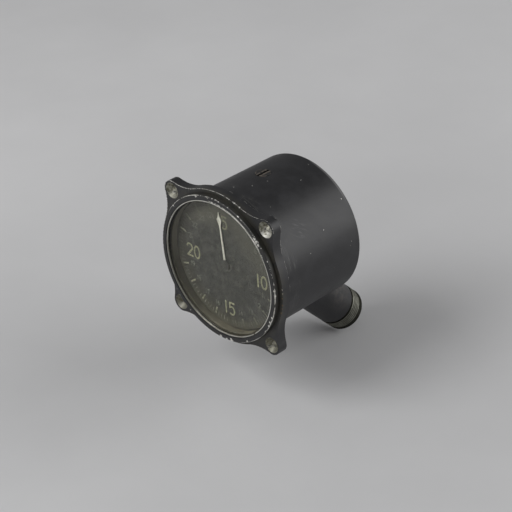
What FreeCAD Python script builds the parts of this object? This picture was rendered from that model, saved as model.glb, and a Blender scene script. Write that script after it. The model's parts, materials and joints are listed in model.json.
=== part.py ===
import FreeCAD, Part
import math
import os

# A centrifugal tachometer for an aircraft panel, 2 3/4 inch dial size, in millimetres.
# Origin: centre of the flange's rear face, which seats on the panel. +Y points to the rear
# along the case, +Z is up, and the dial faces -Y. A flexible drive screws on below the case.
# A 1:1 bevel pair turns an upright governor, whose flyweights lift a grooved collar. A fork
# in the groove rocks a toothed sector, and the sector turns the pointer's pinion.

os.makedirs("parts", exist_ok=True)

# Case casting
case_radius = 37.0
case_wall = 2.2
case_length = 54.25
rear_wall = 2.6
rear_edge_round = 1.5
flange_step = 2.15
flange_thickness = 5.0
seat_fillet = 1.6
ear_stand_out = 3.8
ear_count = 4
ear_first_angle = 45.0
ear_radius = 5.2
ear_blend = 24.0
ear_hole_radius = 2.2
ear_sink_radius = 4.15
ear_sink_depth = 2.3
rim_wall = 2.4
rim_height = 3.0
rim_edge_round = 0.5
glass_shelf = 1.3

# Glass and its snap ring
ring_setback = 0.35
ring_thickness = 0.7
ring_radial_width = 1.35
ring_groove_depth = 0.7
ring_clearance = 0.1
ring_gap = 1.2
ring_gap_angle = -50.0
glass_thickness = 2.0
glass_clearance = 0.2
gasket_thickness = 0.8

# Dial and pointer
dial_depth = 3.15
dial_thickness = 0.8
dial_clearance = 0.4
dial_hole_radius = 1.6
dial_foot_inset = 11.0
dial_foot_radius = 1.0
dial_foot_shoulder = 2.0
dial_gap = 1.0
pointer_gap = 0.35
pointer_thickness = 0.4
pointer_tip_inset = 6.5
pointer_shoulder_half_width = 0.5
pointer_shoulder_radius_share = 0.92
pointer_head_half_width = 1.55
pointer_head_radius_share = 0.855
pointer_neck_half_width = 0.45
pointer_neck_radius_share = 0.74
pointer_stem_half_width = 0.6
pointer_hub_radius = 2.6
pointer_hub_length = 0.9
pointer_rest_angle = 5.2

# Plates of the dial train
plate_clearance = 1.8
front_plate_thickness = 1.4
train_gap = 4.2
rear_plate_thickness = 1.6
pillar_inset = 6.0
pillar_radius = 2.2
pillar_count = 3
pillar_first_angle = 90.0
plate_window_radius = 6.0
plate_window_circle = 17.5
plate_window_place_count = 6
plate_window_count = 3
plate_window_first_angle = 210.0
plate_screw_radius = 0.9
plate_screw_head_radius = 1.8
plate_screw_head = 0.7
plate_screw_depth = 2.4
fit_gap = 0.02
running_gap = 0.06
rest_gap = 0.3
overrun = 1.0

# Posts and screws that hold the movement in the case
post_inset = 3.5
post_radius = 2.5
post_count = 4
post_first_angle = 45.0
post_spigot_radius = 1.5
movement_screw_radius = 1.25
movement_screw_depth = 7.0
movement_screw_head_radius = 2.75
movement_screw_head = 1.5
screw_slot_width = 0.7
screw_slot_depth = 0.6

# Pointer pinion, arbor and hairspring
gear_module = 0.45
pinion_teeth = 10
sector_full_teeth = 90
tooth_addendum_share = 0.8
tooth_dedendum_share = 1.15
tooth_width_share = 0.41
tooth_tip_share = 0.17
tooth_root_share = 0.4
arbor_radius = 0.75
pinion_setback = 0.3
pinion_length = 2.0
collet_radius = 1.5
collet_length = 0.9
hairspring_inner = 1.6
hairspring_outer = 7.0
hairspring_turns = 5
hairspring_strip = 0.16
hairspring_width = 0.6
hairspring_turn_steps = 20
stud_radius = 0.8

# Toothed sector, rock shaft and fork
rock_radius = 1.5
fork_arm = 8.5
rock_travel = 40.0
sector_half_angle = 27.0
sector_thickness = 1.2
sector_setback = 0.65
sector_hub_radius = 3.2
sector_hub_length = 3.4
sector_rim_width = 2.6
sector_spoke_angle = 5.5
sector_window_radius = 5.6
sector_window_share = 0.5
sector_window_steps = 3
stop_pin_radius = 0.9
stop_pin_reach = 12.0
stop_pin_length = 3.6
sleeve_radius = 2.3
fork_plate = 1.5
fork_end_radius = 1.7
fork_pin_radius = 1.0
fork_pin_reach = 1.9
fork_side_gap = 0.8

# Governor shaft and its frame
governor_setback = 28.5
shaft_radius = 1.5
shaft_over_arm = 2.5
frame_plate = 1.6
frame_left = 7.0
frame_right = 11.5
frame_foot = 10.0
arm_plate = 1.8
arm_half_width = 6.0
lower_arm_drop = 1.6
upper_arm_drop = 5.0
bush_radius = 2.6
bush_stand_out = 0.3
lower_bush_rise = 1.3
hanger_behind = 9.35
hanger_half_width = 3.0
hanger_drop = 2.6
frame_screw_radius = 1.0
frame_screw_head_radius = 1.9
frame_screw_head = 1.2
frame_screw_side = 4.0
frame_screw_low = 7.5
frame_screw_drop = 4.3

# Carrier and flyweights
carrier_plate = 2.0
carrier_hub_radius = 4.0
carrier_hub_height = 2.6
pivot_radius = 9.5
pivot_height = 7.0
lug_inner = 1.9
lug_outer = 1.5
lug_top = 1.8
lug_gap = 4.2
lug_plate = 1.3
pivot_pin_radius = 0.8
pivot_hub_radius = 1.8
pivot_side_gap = 0.25
toe_reach = 6.3
toe_plate = 1.0
toe_tip_radius = 1.1
toe_width = 3.0
weight_reach = 6.0
weight_radius = 2.8
weight_length = 10.0
weight_arm_width = 2.4

# Sliding collar and governor spring
collar_clearance = 0.1
collar_foot_radius = 4.6
collar_foot = 1.2
collar_neck_radius = 3.0
cup_radius = 4.2
cup_wall = 0.9
cup_depth = 5.5
cup_floor = 0.9
groove_flange_radius = 5.6
groove_flange = 1.0
spring_seat_radius = 4.0
spring_seat = 1.2
spring_seat_drop = 0.6
spring_wire = 0.6
spring_wire_sides = 6
spring_turns = 6
spring_end_gap = 0.05

# Bevel pair between the drive shaft and the governor shaft
apex_drop = 12.0
drive_tilt = 45.0
bevel_teeth = 16
bevel_cone = 10.0
bevel_face = 4.0
bevel_addendum = 0.75
bevel_dedendum = 1.0
bevel_tooth_width_share = 0.43
bevel_tip_share = 0.24
bevel_root_share = 0.56
bevel_backing = 1.6
bevel_hub_radius = 4.0
governor_gear_hub = 8.0
gear_bore_front = 3.4

# Drive elbow, shaft, bushes and threaded nipple, measured along the drive from the bevel apex
boss_radius = 11.3
boss_reach = 63.4
boss_end_round = 1.2
boss_root = 20.0
inner_boss_radius = 8.5
inner_boss_start = 15.0
inner_boss_end = 40.0
drive_bush_radius = 6.0
drive_bush_length = 9.0
outer_bush_clearance = 1.4
drive_shaft_radius = 2.5
drive_shaft_start = 4.6
drive_gear_hub = 14.7
drive_head_radius = 4.2
drive_head_inset = 9.4
drive_key = 4.0
drive_key_depth = 7.0
nipple_shank_radius = 8.0
nipple_shank = 10.0
nipple_neck_radius = 9.8
nipple_neck = 0.6
nipple_radius = 11.4
nipple_length = 10.0
nipple_chamfer = 0.4
nipple_bore = 6.4
nipple_bore_depth = 9.0
nipple_inner_bore = 4.6

# Oil plug above the governor's upper bush
plug_offset = 2.0
plug_head_radius = 3.9
plug_head = 1.9
plug_shank_radius = 2.5
plug_shank = 1.7
plug_stand_out = 0.1
plug_slot_width = 1.1
plug_slot_depth = 1.0
plug_boss_radius = 5.5
plug_boss_depth = 4.0

# Places that follow from the sizes above
case_bore = case_radius - case_wall
case_back = case_length - rear_wall
front_bore_radius = case_bore + glass_shelf
rim_radius = front_bore_radius + rim_wall
flange_radius = rim_radius + flange_step
bolt_circle_radius = flange_radius + ear_stand_out
plate_radius = case_bore - plate_clearance
pillar_circle = plate_radius - pillar_inset
dial_foot_place = plate_radius - dial_foot_inset
post_circle = plate_radius - post_inset
pointer_reach = case_bore - pointer_tip_inset
upper_arm_height = case_bore - upper_arm_drop
shaft_top = upper_arm_height + shaft_over_arm
frame_screw_high = upper_arm_height - frame_screw_drop
rim_front = -flange_thickness - rim_height
ring_front = rim_front + ring_setback
ring_back = ring_front + ring_thickness
glass_back = ring_back + glass_thickness
shelf_face = glass_back + gasket_thickness
dial_front = shelf_face + dial_depth
dial_back = dial_front + dial_thickness
front_plate_front = dial_back + dial_gap
front_plate_back = front_plate_front + front_plate_thickness
rear_plate_front = front_plate_back + train_gap
rear_plate_back = rear_plate_front + rear_plate_thickness
frame_back = rear_plate_back + frame_plate
hanger_front = governor_setback + hanger_behind
gear_distance = gear_module * (pinion_teeth + sector_full_teeth) / 2
rock_height = math.sqrt(gear_distance ** 2 - fork_arm ** 2)
rock_swing = math.radians(rock_travel / 2)
collar_travel = 2 * fork_arm * math.sin(rock_swing)
toe_swing = math.asin(collar_travel / 2 / toe_reach)
toe_rest_height = pivot_height - toe_reach * math.sin(toe_swing)
collar_bottom = toe_rest_height + toe_tip_radius + collar_clearance
groove_centre = rock_height - collar_travel / 2
groove_half = fork_pin_radius + collar_clearance
collar_top = groove_centre + groove_half + groove_flange
cup_bottom = collar_top - cup_depth
seat_top = upper_arm_height - bush_stand_out - spring_seat_drop / 2
seat_bottom = seat_top - spring_seat
plug_top = case_radius + plug_stand_out
plug_floor = plug_top - plug_head
drive_turn = math.radians(drive_tilt)
pitch_angle = math.radians(90 + drive_tilt) / 2
nipple_back = boss_reach + nipple_neck
outer_bush_start = boss_reach - nipple_shank - outer_bush_clearance - drive_bush_length
drive_head_start = boss_reach - drive_head_inset
nipple_end = nipple_back + nipple_length
key_floor = nipple_end - nipple_bore_depth

X = FreeCAD.Vector(1, 0, 0)
Y = FreeCAD.Vector(0, 1, 0)
Z = FreeCAD.Vector(0, 0, 1)
ZERO = FreeCAD.Vector(0, 0, 0)
drive_way = FreeCAD.Vector(0, math.cos(drive_turn), -math.sin(drive_turn))
apex = FreeCAD.Vector(0, governor_setback, -apex_drop)


def vec(x, y, z):
    return FreeCAD.Vector(x, y, z)


def rod(radius, x, z, y_front, y_back):
    """A round bar along Y."""
    return Part.makeCylinder(radius, y_back - y_front, vec(x, y_front, z), Y)


def tube(outer, inner, x, z, y_front, y_back):
    """A round tube along Y."""
    bore = rod(inner, x, z, y_front - overrun, y_back + overrun)
    return rod(outer, x, z, y_front, y_back).cut(bore)


def post(radius, z_low, z_high):
    """A round bar on the governor's upright axis."""
    return Part.makeCylinder(radius, z_high - z_low, vec(0, governor_setback, z_low), Z)


def block(x_low, x_high, y_low, y_high, z_low, z_high):
    corner = vec(x_low, y_low, z_low)
    return Part.makeBox(x_high - x_low, y_high - y_low, z_high - z_low, corner)


def drive_rod(radius, start, end):
    """A round bar on the drive axis, between two distances from the bevel apex."""
    return Part.makeCylinder(radius, end - start, apex + drive_way * start, drive_way)


def ring_places(count, first, circle):
    """X and Z of each of count places on a circle round the case axis."""
    places = []
    for index in range(count):
        angle = math.radians(first + 360.0 * index / count)
        places.append((circle * math.cos(angle), circle * math.sin(angle)))
    return places


def turned(points, centre, axis):
    """A solid turned from an outline of (radius, height) points about an axis."""
    side = X if abs(axis.x) < abs(axis.z) + abs(axis.y) else Y
    corners = [centre + side * radius + axis * height for radius, height in points]
    face = Part.Face(Part.makePolygon(corners + corners[:1]))
    return face.revolve(centre, axis, 360)


def flat_piece(points, y_front, thickness):
    """A plate cut to an outline of (x, z) points."""
    corners = [vec(x, y_front, z) for x, z in points]
    return Part.Face(Part.makePolygon(corners + corners[:1])).extrude(Y * thickness)


def slotted(screw, centre, axis, across, head_radius, width, depth):
    """Cuts a screwdriver slot across the head, centred where the axis leaves it."""
    slot = Part.makeBox(2 * head_radius + 2 * overrun, width, depth + overrun)
    slot.translate(vec(-head_radius - overrun, -width / 2, -depth))
    side = axis.cross(across)
    turn = FreeCAD.Matrix(across.x, side.x, axis.x, centre.x,
                          across.y, side.y, axis.y, centre.y,
                          across.z, side.z, axis.z, centre.z,
                          0, 0, 0, 1)
    slot = slot.transformShape(turn)
    return screw.cut(slot)


def joined(shapes):
    """One solid of several that touch, with its seams cleaned."""
    return shapes[0].fuse(shapes[1:]).removeSplitter()


def save(name, solids):
    shape = solids[0] if len(solids) == 1 else Part.makeCompound(solids)
    shape.exportStep("parts/" + name + ".step")
    volume = sum(solid.Volume for solid in solids)
    print(name, "solids", len(shape.Solids), "volume", round(volume, 2), "valid", shape.isValid())


def ear_places():
    return ring_places(ear_count, ear_first_angle, bolt_circle_radius)


def arc_between(first, middle, last):
    """The round edge from first to last through middle, each given as (radius, angle)."""
    ends = [vec(r * math.cos(a), -flange_thickness, r * math.sin(a)) for r, a in
            (first, middle, last)]
    return Part.Arc(*ends).toShape()


def flange():
    """The mounting flange: a disc with four ears, joined by hollow arcs that touch both."""
    far = flange_radius + ear_blend
    near = ear_radius + ear_blend
    share = (far ** 2 - near ** 2 + bolt_circle_radius ** 2) / (2 * bolt_circle_radius)
    swing = math.acos(share / far)
    hollow_side = math.sqrt(far ** 2 - share ** 2)
    touch_along = bolt_circle_radius + (share - bolt_circle_radius) * ear_radius / near
    touch_aside = hollow_side * ear_radius / near
    touch = math.hypot(touch_along, touch_aside)
    touch_swing = math.atan2(touch_aside, touch_along)
    to_disc = math.atan2(-hollow_side, -share)
    to_ear = math.atan2(-hollow_side, bolt_circle_radius - share)
    halfway = (to_disc + to_ear) / 2
    dip_along = share + ear_blend * math.cos(halfway)
    dip_aside = hollow_side + ear_blend * math.sin(halfway)
    dip = math.hypot(dip_along, dip_aside)
    dip_swing = math.atan2(dip_aside, dip_along)
    tip = bolt_circle_radius + ear_radius
    step = 2 * math.pi / ear_count
    edges = []
    for index in range(ear_count):
        ear = math.radians(ear_first_angle) + index * step
        for side in (-1, 1):
            edges.append(arc_between((touch, ear + side * touch_swing),
                                     (dip, ear + side * dip_swing),
                                     (flange_radius, ear + side * swing)))
        edges.append(arc_between((touch, ear - touch_swing), (tip, ear),
                                 (touch, ear + touch_swing)))
        edges.append(arc_between((flange_radius, ear + swing), (flange_radius, ear + step / 2),
                                 (flange_radius, ear + step - swing)))
    outline = Part.Wire(Part.__sortEdges__(edges))
    return Part.Face(outline).extrude(Y * flange_thickness)


def round_edges(solid, radius, y_place, fillet):
    """Fillets the round edge of this radius that lies at y_place."""
    edges = []
    for edge in solid.Edges:
        if isinstance(edge.Curve, Part.Circle):
            same = abs(edge.Curve.Radius - radius) < fit_gap
            centred = abs(edge.Curve.Center.y - y_place) < fit_gap
            if same and centred and math.hypot(edge.Curve.Center.x, edge.Curve.Center.z) < fit_gap:
                edges.append(edge)
    return solid.makeFillet(fillet, edges)


def ear_hole(x, z):
    hole = rod(ear_hole_radius, x, z, -flange_thickness - overrun, overrun)
    sink = Part.makeCone(ear_sink_radius, ear_hole_radius, ear_sink_depth,
                         vec(x, -flange_thickness, z), Y)
    return hole.fuse(sink)


def case():
    """The cast case: cup, flange with ears, raised rim and drive elbow in one piece."""
    barrel = rod(case_radius, 0, 0, -flange_thickness, case_length)
    barrel = round_edges(barrel, case_radius, case_length, rear_edge_round)
    rim = rod(rim_radius, 0, 0, rim_front, 0)
    rim = round_edges(rim, rim_radius, rim_front, rim_edge_round)
    body = joined([barrel, flange(), rim])
    body = round_edges(body, case_radius, 0, seat_fillet)
    elbow = drive_rod(boss_radius, boss_root, boss_reach)
    mouth = [edge for edge in elbow.Edges if edge.CenterOfMass.isEqual(
        apex + drive_way * boss_reach, fit_gap)]
    body = body.fuse(elbow.makeFillet(boss_end_round, mouth))
    body = body.cut(rod(case_bore, 0, 0, shelf_face, case_back))
    body = body.cut(rod(front_bore_radius, 0, 0, rim_front - overrun, shelf_face))
    groove = front_bore_radius + ring_groove_depth
    body = body.cut(rod(groove, 0, 0, ring_front - ring_clearance / 2, ring_back))
    plug_place = vec(-plug_offset, governor_setback, plug_top)
    plug_boss = Part.makeCylinder(plug_boss_radius, plug_boss_depth, plug_place, -Z)
    plug_boss = plug_boss.common(rod(case_radius, 0, 0, 0, case_length))
    inner_boss = drive_rod(inner_boss_radius, inner_boss_start, inner_boss_end)
    body = joined([body, plug_boss, inner_boss])
    bush_bore = drive_bush_radius + fit_gap
    body = body.cut(drive_rod(bush_bore, inner_boss_start - overrun, boss_reach))
    shank_bore = nipple_shank_radius + fit_gap
    shank_floor = boss_reach - nipple_shank - rest_gap
    body = body.cut(drive_rod(shank_bore, shank_floor, boss_reach + overrun))
    sink_radius = plug_head_radius + ring_clearance
    sink = Part.makeCylinder(sink_radius, plug_head + overrun, plug_place + Z * overrun, -Z)
    body = body.cut(sink)
    hole_depth = plug_boss_depth + overrun
    hole = Part.makeCylinder(plug_shank_radius + fit_gap, hole_depth, plug_place, -Z)
    body = body.cut(hole)
    for x, z in ear_places():
        body = body.cut(ear_hole(x, z))
    for x, z in ring_places(post_count, post_first_angle, post_circle):
        bore = movement_screw_radius + running_gap
        body = body.cut(rod(bore, x, z, case_back - overrun, case_length + overrun))
    return body.removeSplitter()


def cover_glass():
    return rod(front_bore_radius - glass_clearance, 0, 0, ring_back, glass_back)


def glass_gasket():
    outer = front_bore_radius - glass_clearance
    return tube(outer, case_bore, 0, 0, glass_back, shelf_face)


def snap_ring():
    """A flat wire ring sprung into the rim's groove, with an open joint."""
    outer = front_bore_radius + ring_groove_depth - ring_clearance
    ring = tube(outer, outer - ring_radial_width, 0, 0, ring_front, ring_back)
    gap = block(0, outer + overrun, ring_front - overrun, ring_back + overrun,
                -ring_gap / 2, ring_gap / 2)
    gap.rotate(ZERO, Y, -ring_gap_angle)
    return ring.cut(gap)


def dial():
    """The dial plate with two shouldered feet that drop into the front plate."""
    pieces = [tube(case_bore - dial_clearance, dial_hole_radius, 0, 0, dial_front, dial_back)]
    for side in (-1, 1):
        x = side * dial_foot_place
        pieces.append(rod(dial_foot_shoulder, x, 0, dial_back, front_plate_front))
        pieces.append(rod(dial_foot_radius, x, 0, dial_back, front_plate_back))
    return joined(pieces)


def pointer():
    """A lance pointer: slim tip, spear head, waisted neck and stem on a turned hub."""
    back = dial_front - pointer_gap
    right = [(0, pointer_reach),
             (pointer_shoulder_half_width, pointer_reach * pointer_shoulder_radius_share),
             (pointer_head_half_width, pointer_reach * pointer_head_radius_share),
             (pointer_neck_half_width, pointer_reach * pointer_neck_radius_share),
             (pointer_stem_half_width, 0)]
    left = [(-x, z) for x, z in reversed(right[1:])]
    lance = flat_piece(right + left, back - pointer_thickness, pointer_thickness)
    hub = rod(pointer_hub_radius, 0, 0, back - pointer_hub_length, back)
    whole = joined([lance, hub])
    bore = rod(arbor_radius + fit_gap, 0, 0, back - pointer_hub_length - overrun,
               back + overrun)
    whole = whole.cut(bore)
    whole.rotate(ZERO, Y, -pointer_rest_angle)
    return whole


def toothed_points(teeth, full_teeth, centre_angle, first_shift):
    """Points of a run of teeth along a pitch circle, as (radius, angle) pairs."""
    pitch = gear_module * full_teeth / 2
    step = 2 * math.pi / full_teeth
    tip = pitch + gear_module * tooth_addendum_share
    root = pitch - gear_module * tooth_dedendum_share
    half = step * tooth_width_share / 2
    tip_half = step * tooth_tip_share / 2 * pitch / tip
    root_half = step * tooth_root_share / 2 * pitch / root
    points = []
    for index in range(teeth):
        middle = centre_angle + (index + first_shift) * step
        points.append((root, middle - max(root_half, half)))
        points.append((pitch, middle - half))
        points.append((tip, middle - tip_half))
        points.append((tip, middle + tip_half))
        points.append((pitch, middle + half))
        points.append((root, middle + max(root_half, half)))
    return points


def around(points, x, z):
    return [(x + r * math.cos(a), z + r * math.sin(a)) for r, a in points]


def mesh_angle():
    """Direction from the rock shaft to the pointer's axis."""
    return math.atan2(-rock_height, -fork_arm)


def pointer_arbor():
    """The pointer's arbor with its pinion cut from the same bar."""
    toward_sector = mesh_angle() + math.pi
    teeth = around(toothed_points(pinion_teeth, pinion_teeth, toward_sector, 0.5), 0, 0)
    start = front_plate_back + pinion_setback
    leaves = flat_piece(teeth, start, pinion_length)
    hub_front = dial_front - pointer_gap - pointer_hub_length
    bar = rod(arbor_radius, 0, 0, hub_front, rear_plate_back)
    return joined([bar, leaves])


def hairspring_front():
    return front_plate_back + pinion_setback + pinion_length + rest_gap


def hairspring_collet():
    start = hairspring_front()
    return tube(collet_radius, arbor_radius + fit_gap, 0, 0, start, start + collet_length)


def spiral(radius_shift):
    """(x, z) points of one side of the hairspring's strip, from the collet outwards."""
    points = []
    steps = hairspring_turns * hairspring_turn_steps
    for index in range(steps + 1):
        radius = hairspring_inner + (hairspring_outer - hairspring_inner) * index / steps
        angle = 2 * math.pi * hairspring_turns * index / steps
        points.append(((radius + radius_shift) * math.cos(angle),
                       (radius + radius_shift) * math.sin(angle)))
    return points


def hairspring():
    """A flat spiral strip from the collet to the stud."""
    inner = spiral(-hairspring_strip / 2)
    outer = spiral(hairspring_strip / 2)
    return flat_piece(inner + outer[::-1], hairspring_front(), hairspring_width)


def hairspring_stud():
    x = hairspring_outer + hairspring_strip / 2 + stud_radius
    return rod(stud_radius, x, 0, hairspring_front(), rear_plate_front)


def pillar_places():
    return ring_places(pillar_count, pillar_first_angle, pillar_circle)


def plate_holes(plate, y_front, y_back):
    for x, z in pillar_places():
        radius = plate_screw_radius + fit_gap
        plate = plate.cut(rod(radius, x, z, y_front - overrun, y_back + overrun))
    return plate


def front_plate():
    """The plate under the dial, lightened by windows, with the sector's and arbor's pivots."""
    plate = rod(plate_radius, 0, 0, front_plate_front, front_plate_back)
    plate = plate_holes(plate, front_plate_front, front_plate_back)
    holes = [(0, 0, arbor_radius + running_gap), (fork_arm, rock_height, rock_radius + running_gap)]
    for side in (-1, 1):
        holes.append((side * dial_foot_place, 0, dial_foot_radius + fit_gap))
    windows = ring_places(plate_window_place_count, plate_window_first_angle, plate_window_circle)
    for x, z in windows[:plate_window_count]:
        holes.append((x, z, plate_window_radius))
    for x, z, radius in holes:
        plate = plate.cut(rod(radius, x, z, front_plate_front - overrun, front_plate_back + overrun))
    return plate


def frame_screw_places():
    places = []
    for side in (-1, 1):
        places.append((side * frame_screw_side, -frame_screw_low))
        places.append((side * frame_screw_side, frame_screw_high))
    return places


def rear_plate():
    plate = rod(plate_radius, 0, 0, rear_plate_front, rear_plate_back)
    plate = plate_holes(plate, rear_plate_front, rear_plate_back)
    holes = [(0, 0, arbor_radius + running_gap), (fork_arm, rock_height, rock_radius + running_gap)]
    for x, z in ring_places(post_count, post_first_angle, post_circle):
        holes.append((x, z, post_spigot_radius + fit_gap))
    for x, z in frame_screw_places():
        holes.append((x, z, frame_screw_radius + fit_gap))
    for x, z, radius in holes:
        plate = plate.cut(rod(radius, x, z, rear_plate_front - overrun, rear_plate_back + overrun))
    return plate


def plate_pillars():
    """Three pillars between the plates, drilled for a screw at each end."""
    pillars = []
    for x, z in pillar_places():
        pillar = rod(pillar_radius, x, z, front_plate_back, rear_plate_front)
        bore = rod(plate_screw_radius + fit_gap, x, z, front_plate_back - overrun,
                   rear_plate_front + overrun)
        pillars.append(pillar.cut(bore))
    return pillars


def plate_screws():
    """A screw through both plates and each pillar, with its head under the dial."""
    screws = []
    for x, z in pillar_places():
        head_front = front_plate_front - plate_screw_head
        head = rod(plate_screw_head_radius, x, z, head_front, front_plate_front)
        shank = rod(plate_screw_radius, x, z, front_plate_front, rear_plate_back)
        screw = joined([head, shank])
        depth = plate_screw_head / 2
        screws.append(slotted(screw, vec(x, head_front, z), -Y, X, plate_screw_head_radius,
                              depth, depth))
    return screws


def movement_posts():
    """Four long posts from the rear plate to the rear wall of the case."""
    posts = []
    for x, z in ring_places(post_count, post_first_angle, post_circle):
        bar = rod(post_radius, x, z, rear_plate_back, case_back)
        spigot = rod(post_spigot_radius, x, z, rear_plate_front, rear_plate_back)
        bore = rod(movement_screw_radius + fit_gap, x, z, case_back - movement_screw_depth,
                   case_back + overrun)
        posts.append(joined([bar, spigot]).cut(bore))
    return posts


def movement_screws():
    """Four slotted screws through the rear wall into the posts."""
    screws = []
    for x, z in ring_places(post_count, post_first_angle, post_circle):
        top = case_length + movement_screw_head
        head = rod(movement_screw_head_radius, x, z, case_length, top)
        shank = rod(movement_screw_radius, x, z, case_back - movement_screw_depth + rest_gap,
                    case_length)
        screw = joined([head, shank])
        screws.append(slotted(screw, vec(x, top, z), Y, Z, movement_screw_head_radius,
                              screw_slot_width, screw_slot_depth))
    return screws


def sector_middle():
    """Direction of the sector's middle with the pointer at rest."""
    return mesh_angle() + rock_swing


def sector_gear():
    """A toothed sector: hub, two spokes and a rim, of which only the rim's run has teeth."""
    full_step = 2 * math.pi / sector_full_teeth
    count = 2 * int(math.radians(sector_half_angle) / full_step) + 1
    middle = sector_middle()
    teeth = toothed_points(count, sector_full_teeth, middle, -(count - 1) / 2)
    front = front_plate_back + sector_setback
    plate = flat_piece(around([(0, middle)] + teeth, fork_arm, rock_height), front,
                       sector_thickness)
    half = (count / 2) * full_step - math.radians(sector_spoke_angle)
    outer = gear_module * sector_full_teeth / 2 - sector_rim_width
    window_arc = []
    for index in range(sector_window_steps + 1):
        window_arc.append((outer, middle + half * (2 * index / sector_window_steps - 1)))
    narrow = half * sector_window_share
    window_back = [(sector_window_radius, middle + narrow), (sector_window_radius, middle - narrow)]
    window = flat_piece(around(window_arc + window_back, fork_arm, rock_height),
                        front - overrun, sector_thickness + 2 * overrun)
    hub = rod(sector_hub_radius, fork_arm, rock_height, front - rest_gap,
              front - rest_gap + sector_hub_length)
    whole = joined([plate.cut(window), hub])
    bore = rod(rock_radius + fit_gap, fork_arm, rock_height, front - overrun,
               front + sector_hub_length + overrun)
    return whole.cut(bore)


def sector_stop_pins():
    """Two pins on the rear plate that stop the sector's spokes at both ends of its travel."""
    full_step = 2 * math.pi / sector_full_teeth
    count = 2 * int(math.radians(sector_half_angle) / full_step) + 1
    half = (count / 2) * full_step
    away = math.asin((stop_pin_radius + rest_gap) / stop_pin_reach)
    pins = []
    for angle in (sector_middle() + half + away,
                  sector_middle() - 2 * rock_swing - half - away):
        x = fork_arm + stop_pin_reach * math.cos(angle)
        z = rock_height + stop_pin_reach * math.sin(angle)
        pins.append(rod(stop_pin_radius, x, z, rear_plate_front - stop_pin_length, rear_plate_front))
    return pins


def rock_shaft():
    return rod(rock_radius, fork_arm, rock_height, front_plate_front,
               hanger_front + frame_plate)


def collar_fork():
    """A sleeve on the rock shaft with two arms, whose pins ride in the collar's groove."""
    outside = groove_flange_radius + fork_side_gap
    pin_x = fork_arm - fork_arm * math.cos(rock_swing)
    pin_z = groove_centre
    tilt = math.degrees(rock_swing)
    start = governor_setback - outside - fork_plate
    end = governor_setback + outside + fork_plate
    pieces = [rod(sleeve_radius, fork_arm, rock_height, start, end)]
    for side in (-1, 1):
        inner = governor_setback + side * outside
        outer = inner + side * fork_plate
        low, high = min(inner, outer), max(inner, outer)
        bar = block(-fork_arm, 0, low, high, -fork_end_radius, fork_end_radius)
        bar.rotate(ZERO, Y, -tilt)
        bar.translate(vec(fork_arm, 0, rock_height))
        end_disc = rod(fork_end_radius, pin_x, pin_z, low, high)
        tip = inner - side * fork_pin_reach
        pin = rod(fork_pin_radius, pin_x, pin_z, min(tip, outer), max(tip, outer))
        pieces += [bar, end_disc, pin]
    whole = joined(pieces)
    bore = rod(rock_radius + fit_gap, fork_arm, rock_height, start - overrun, end + overrun)
    return whole.cut(bore)


def governor_frame():
    """A bracket on the rear plate: web, two arms for the governor and a rear hanger."""
    top = upper_arm_height + arm_plate
    arm_end = governor_setback + arm_half_width
    web = block(-frame_left, frame_right, rear_plate_back, frame_back, -frame_foot, top)
    lower_top = -lower_arm_drop
    lower = block(-arm_half_width, arm_half_width, rear_plate_back, arm_end,
                  lower_top - arm_plate, lower_top)
    hanger_back = hanger_front + frame_plate
    upper = block(-arm_half_width, frame_right, rear_plate_back, hanger_back,
                  upper_arm_height, top)
    hanger = block(fork_arm - hanger_half_width, fork_arm + hanger_half_width, hanger_front,
                   hanger_back, rock_height - hanger_drop, top)
    whole = joined([web, lower, upper, hanger])
    whole = whole.cut(post(bush_radius + fit_gap, -frame_foot, top + overrun))
    shaft_hole = rod(sleeve_radius, fork_arm, rock_height, rear_plate_back - overrun,
                     frame_back + overrun)
    hanger_hole = rod(rock_radius + running_gap, fork_arm, rock_height,
                      hanger_front - overrun, hanger_back + overrun)
    arbor_hole = rod(sleeve_radius, 0, 0, rear_plate_back - overrun, frame_back + overrun)
    whole = whole.cut([shaft_hole, hanger_hole, arbor_hole])
    for x, z in frame_screw_places():
        hole = rod(frame_screw_radius + fit_gap, x, z, rear_plate_back - overrun,
                   frame_back + overrun)
        whole = whole.cut(hole)
    return whole


def frame_screws():
    screws = []
    for x, z in frame_screw_places():
        top = frame_back + frame_screw_head
        head = rod(frame_screw_head_radius, x, z, frame_back, top)
        shank = rod(frame_screw_radius, x, z, rear_plate_front, frame_back)
        screw = joined([head, shank])
        screws.append(slotted(screw, vec(x, top, z), Y, X, frame_screw_head_radius,
                              screw_slot_width, screw_slot_depth))
    return screws


def upright_bush(z_low, z_high):
    return post(bush_radius, z_low, z_high).cut(
        post(shaft_radius + running_gap, z_low - overrun, z_high + overrun))


def lower_bush():
    low = -lower_arm_drop - arm_plate - bush_stand_out
    return upright_bush(low, -lower_arm_drop + lower_bush_rise)


def upper_bush():
    top = upper_arm_height + arm_plate
    return upright_bush(upper_arm_height - bush_stand_out, top + bush_stand_out)


def governor_shaft():
    return post(shaft_radius, -apex_drop + gear_bore_front, shaft_top)


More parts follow.
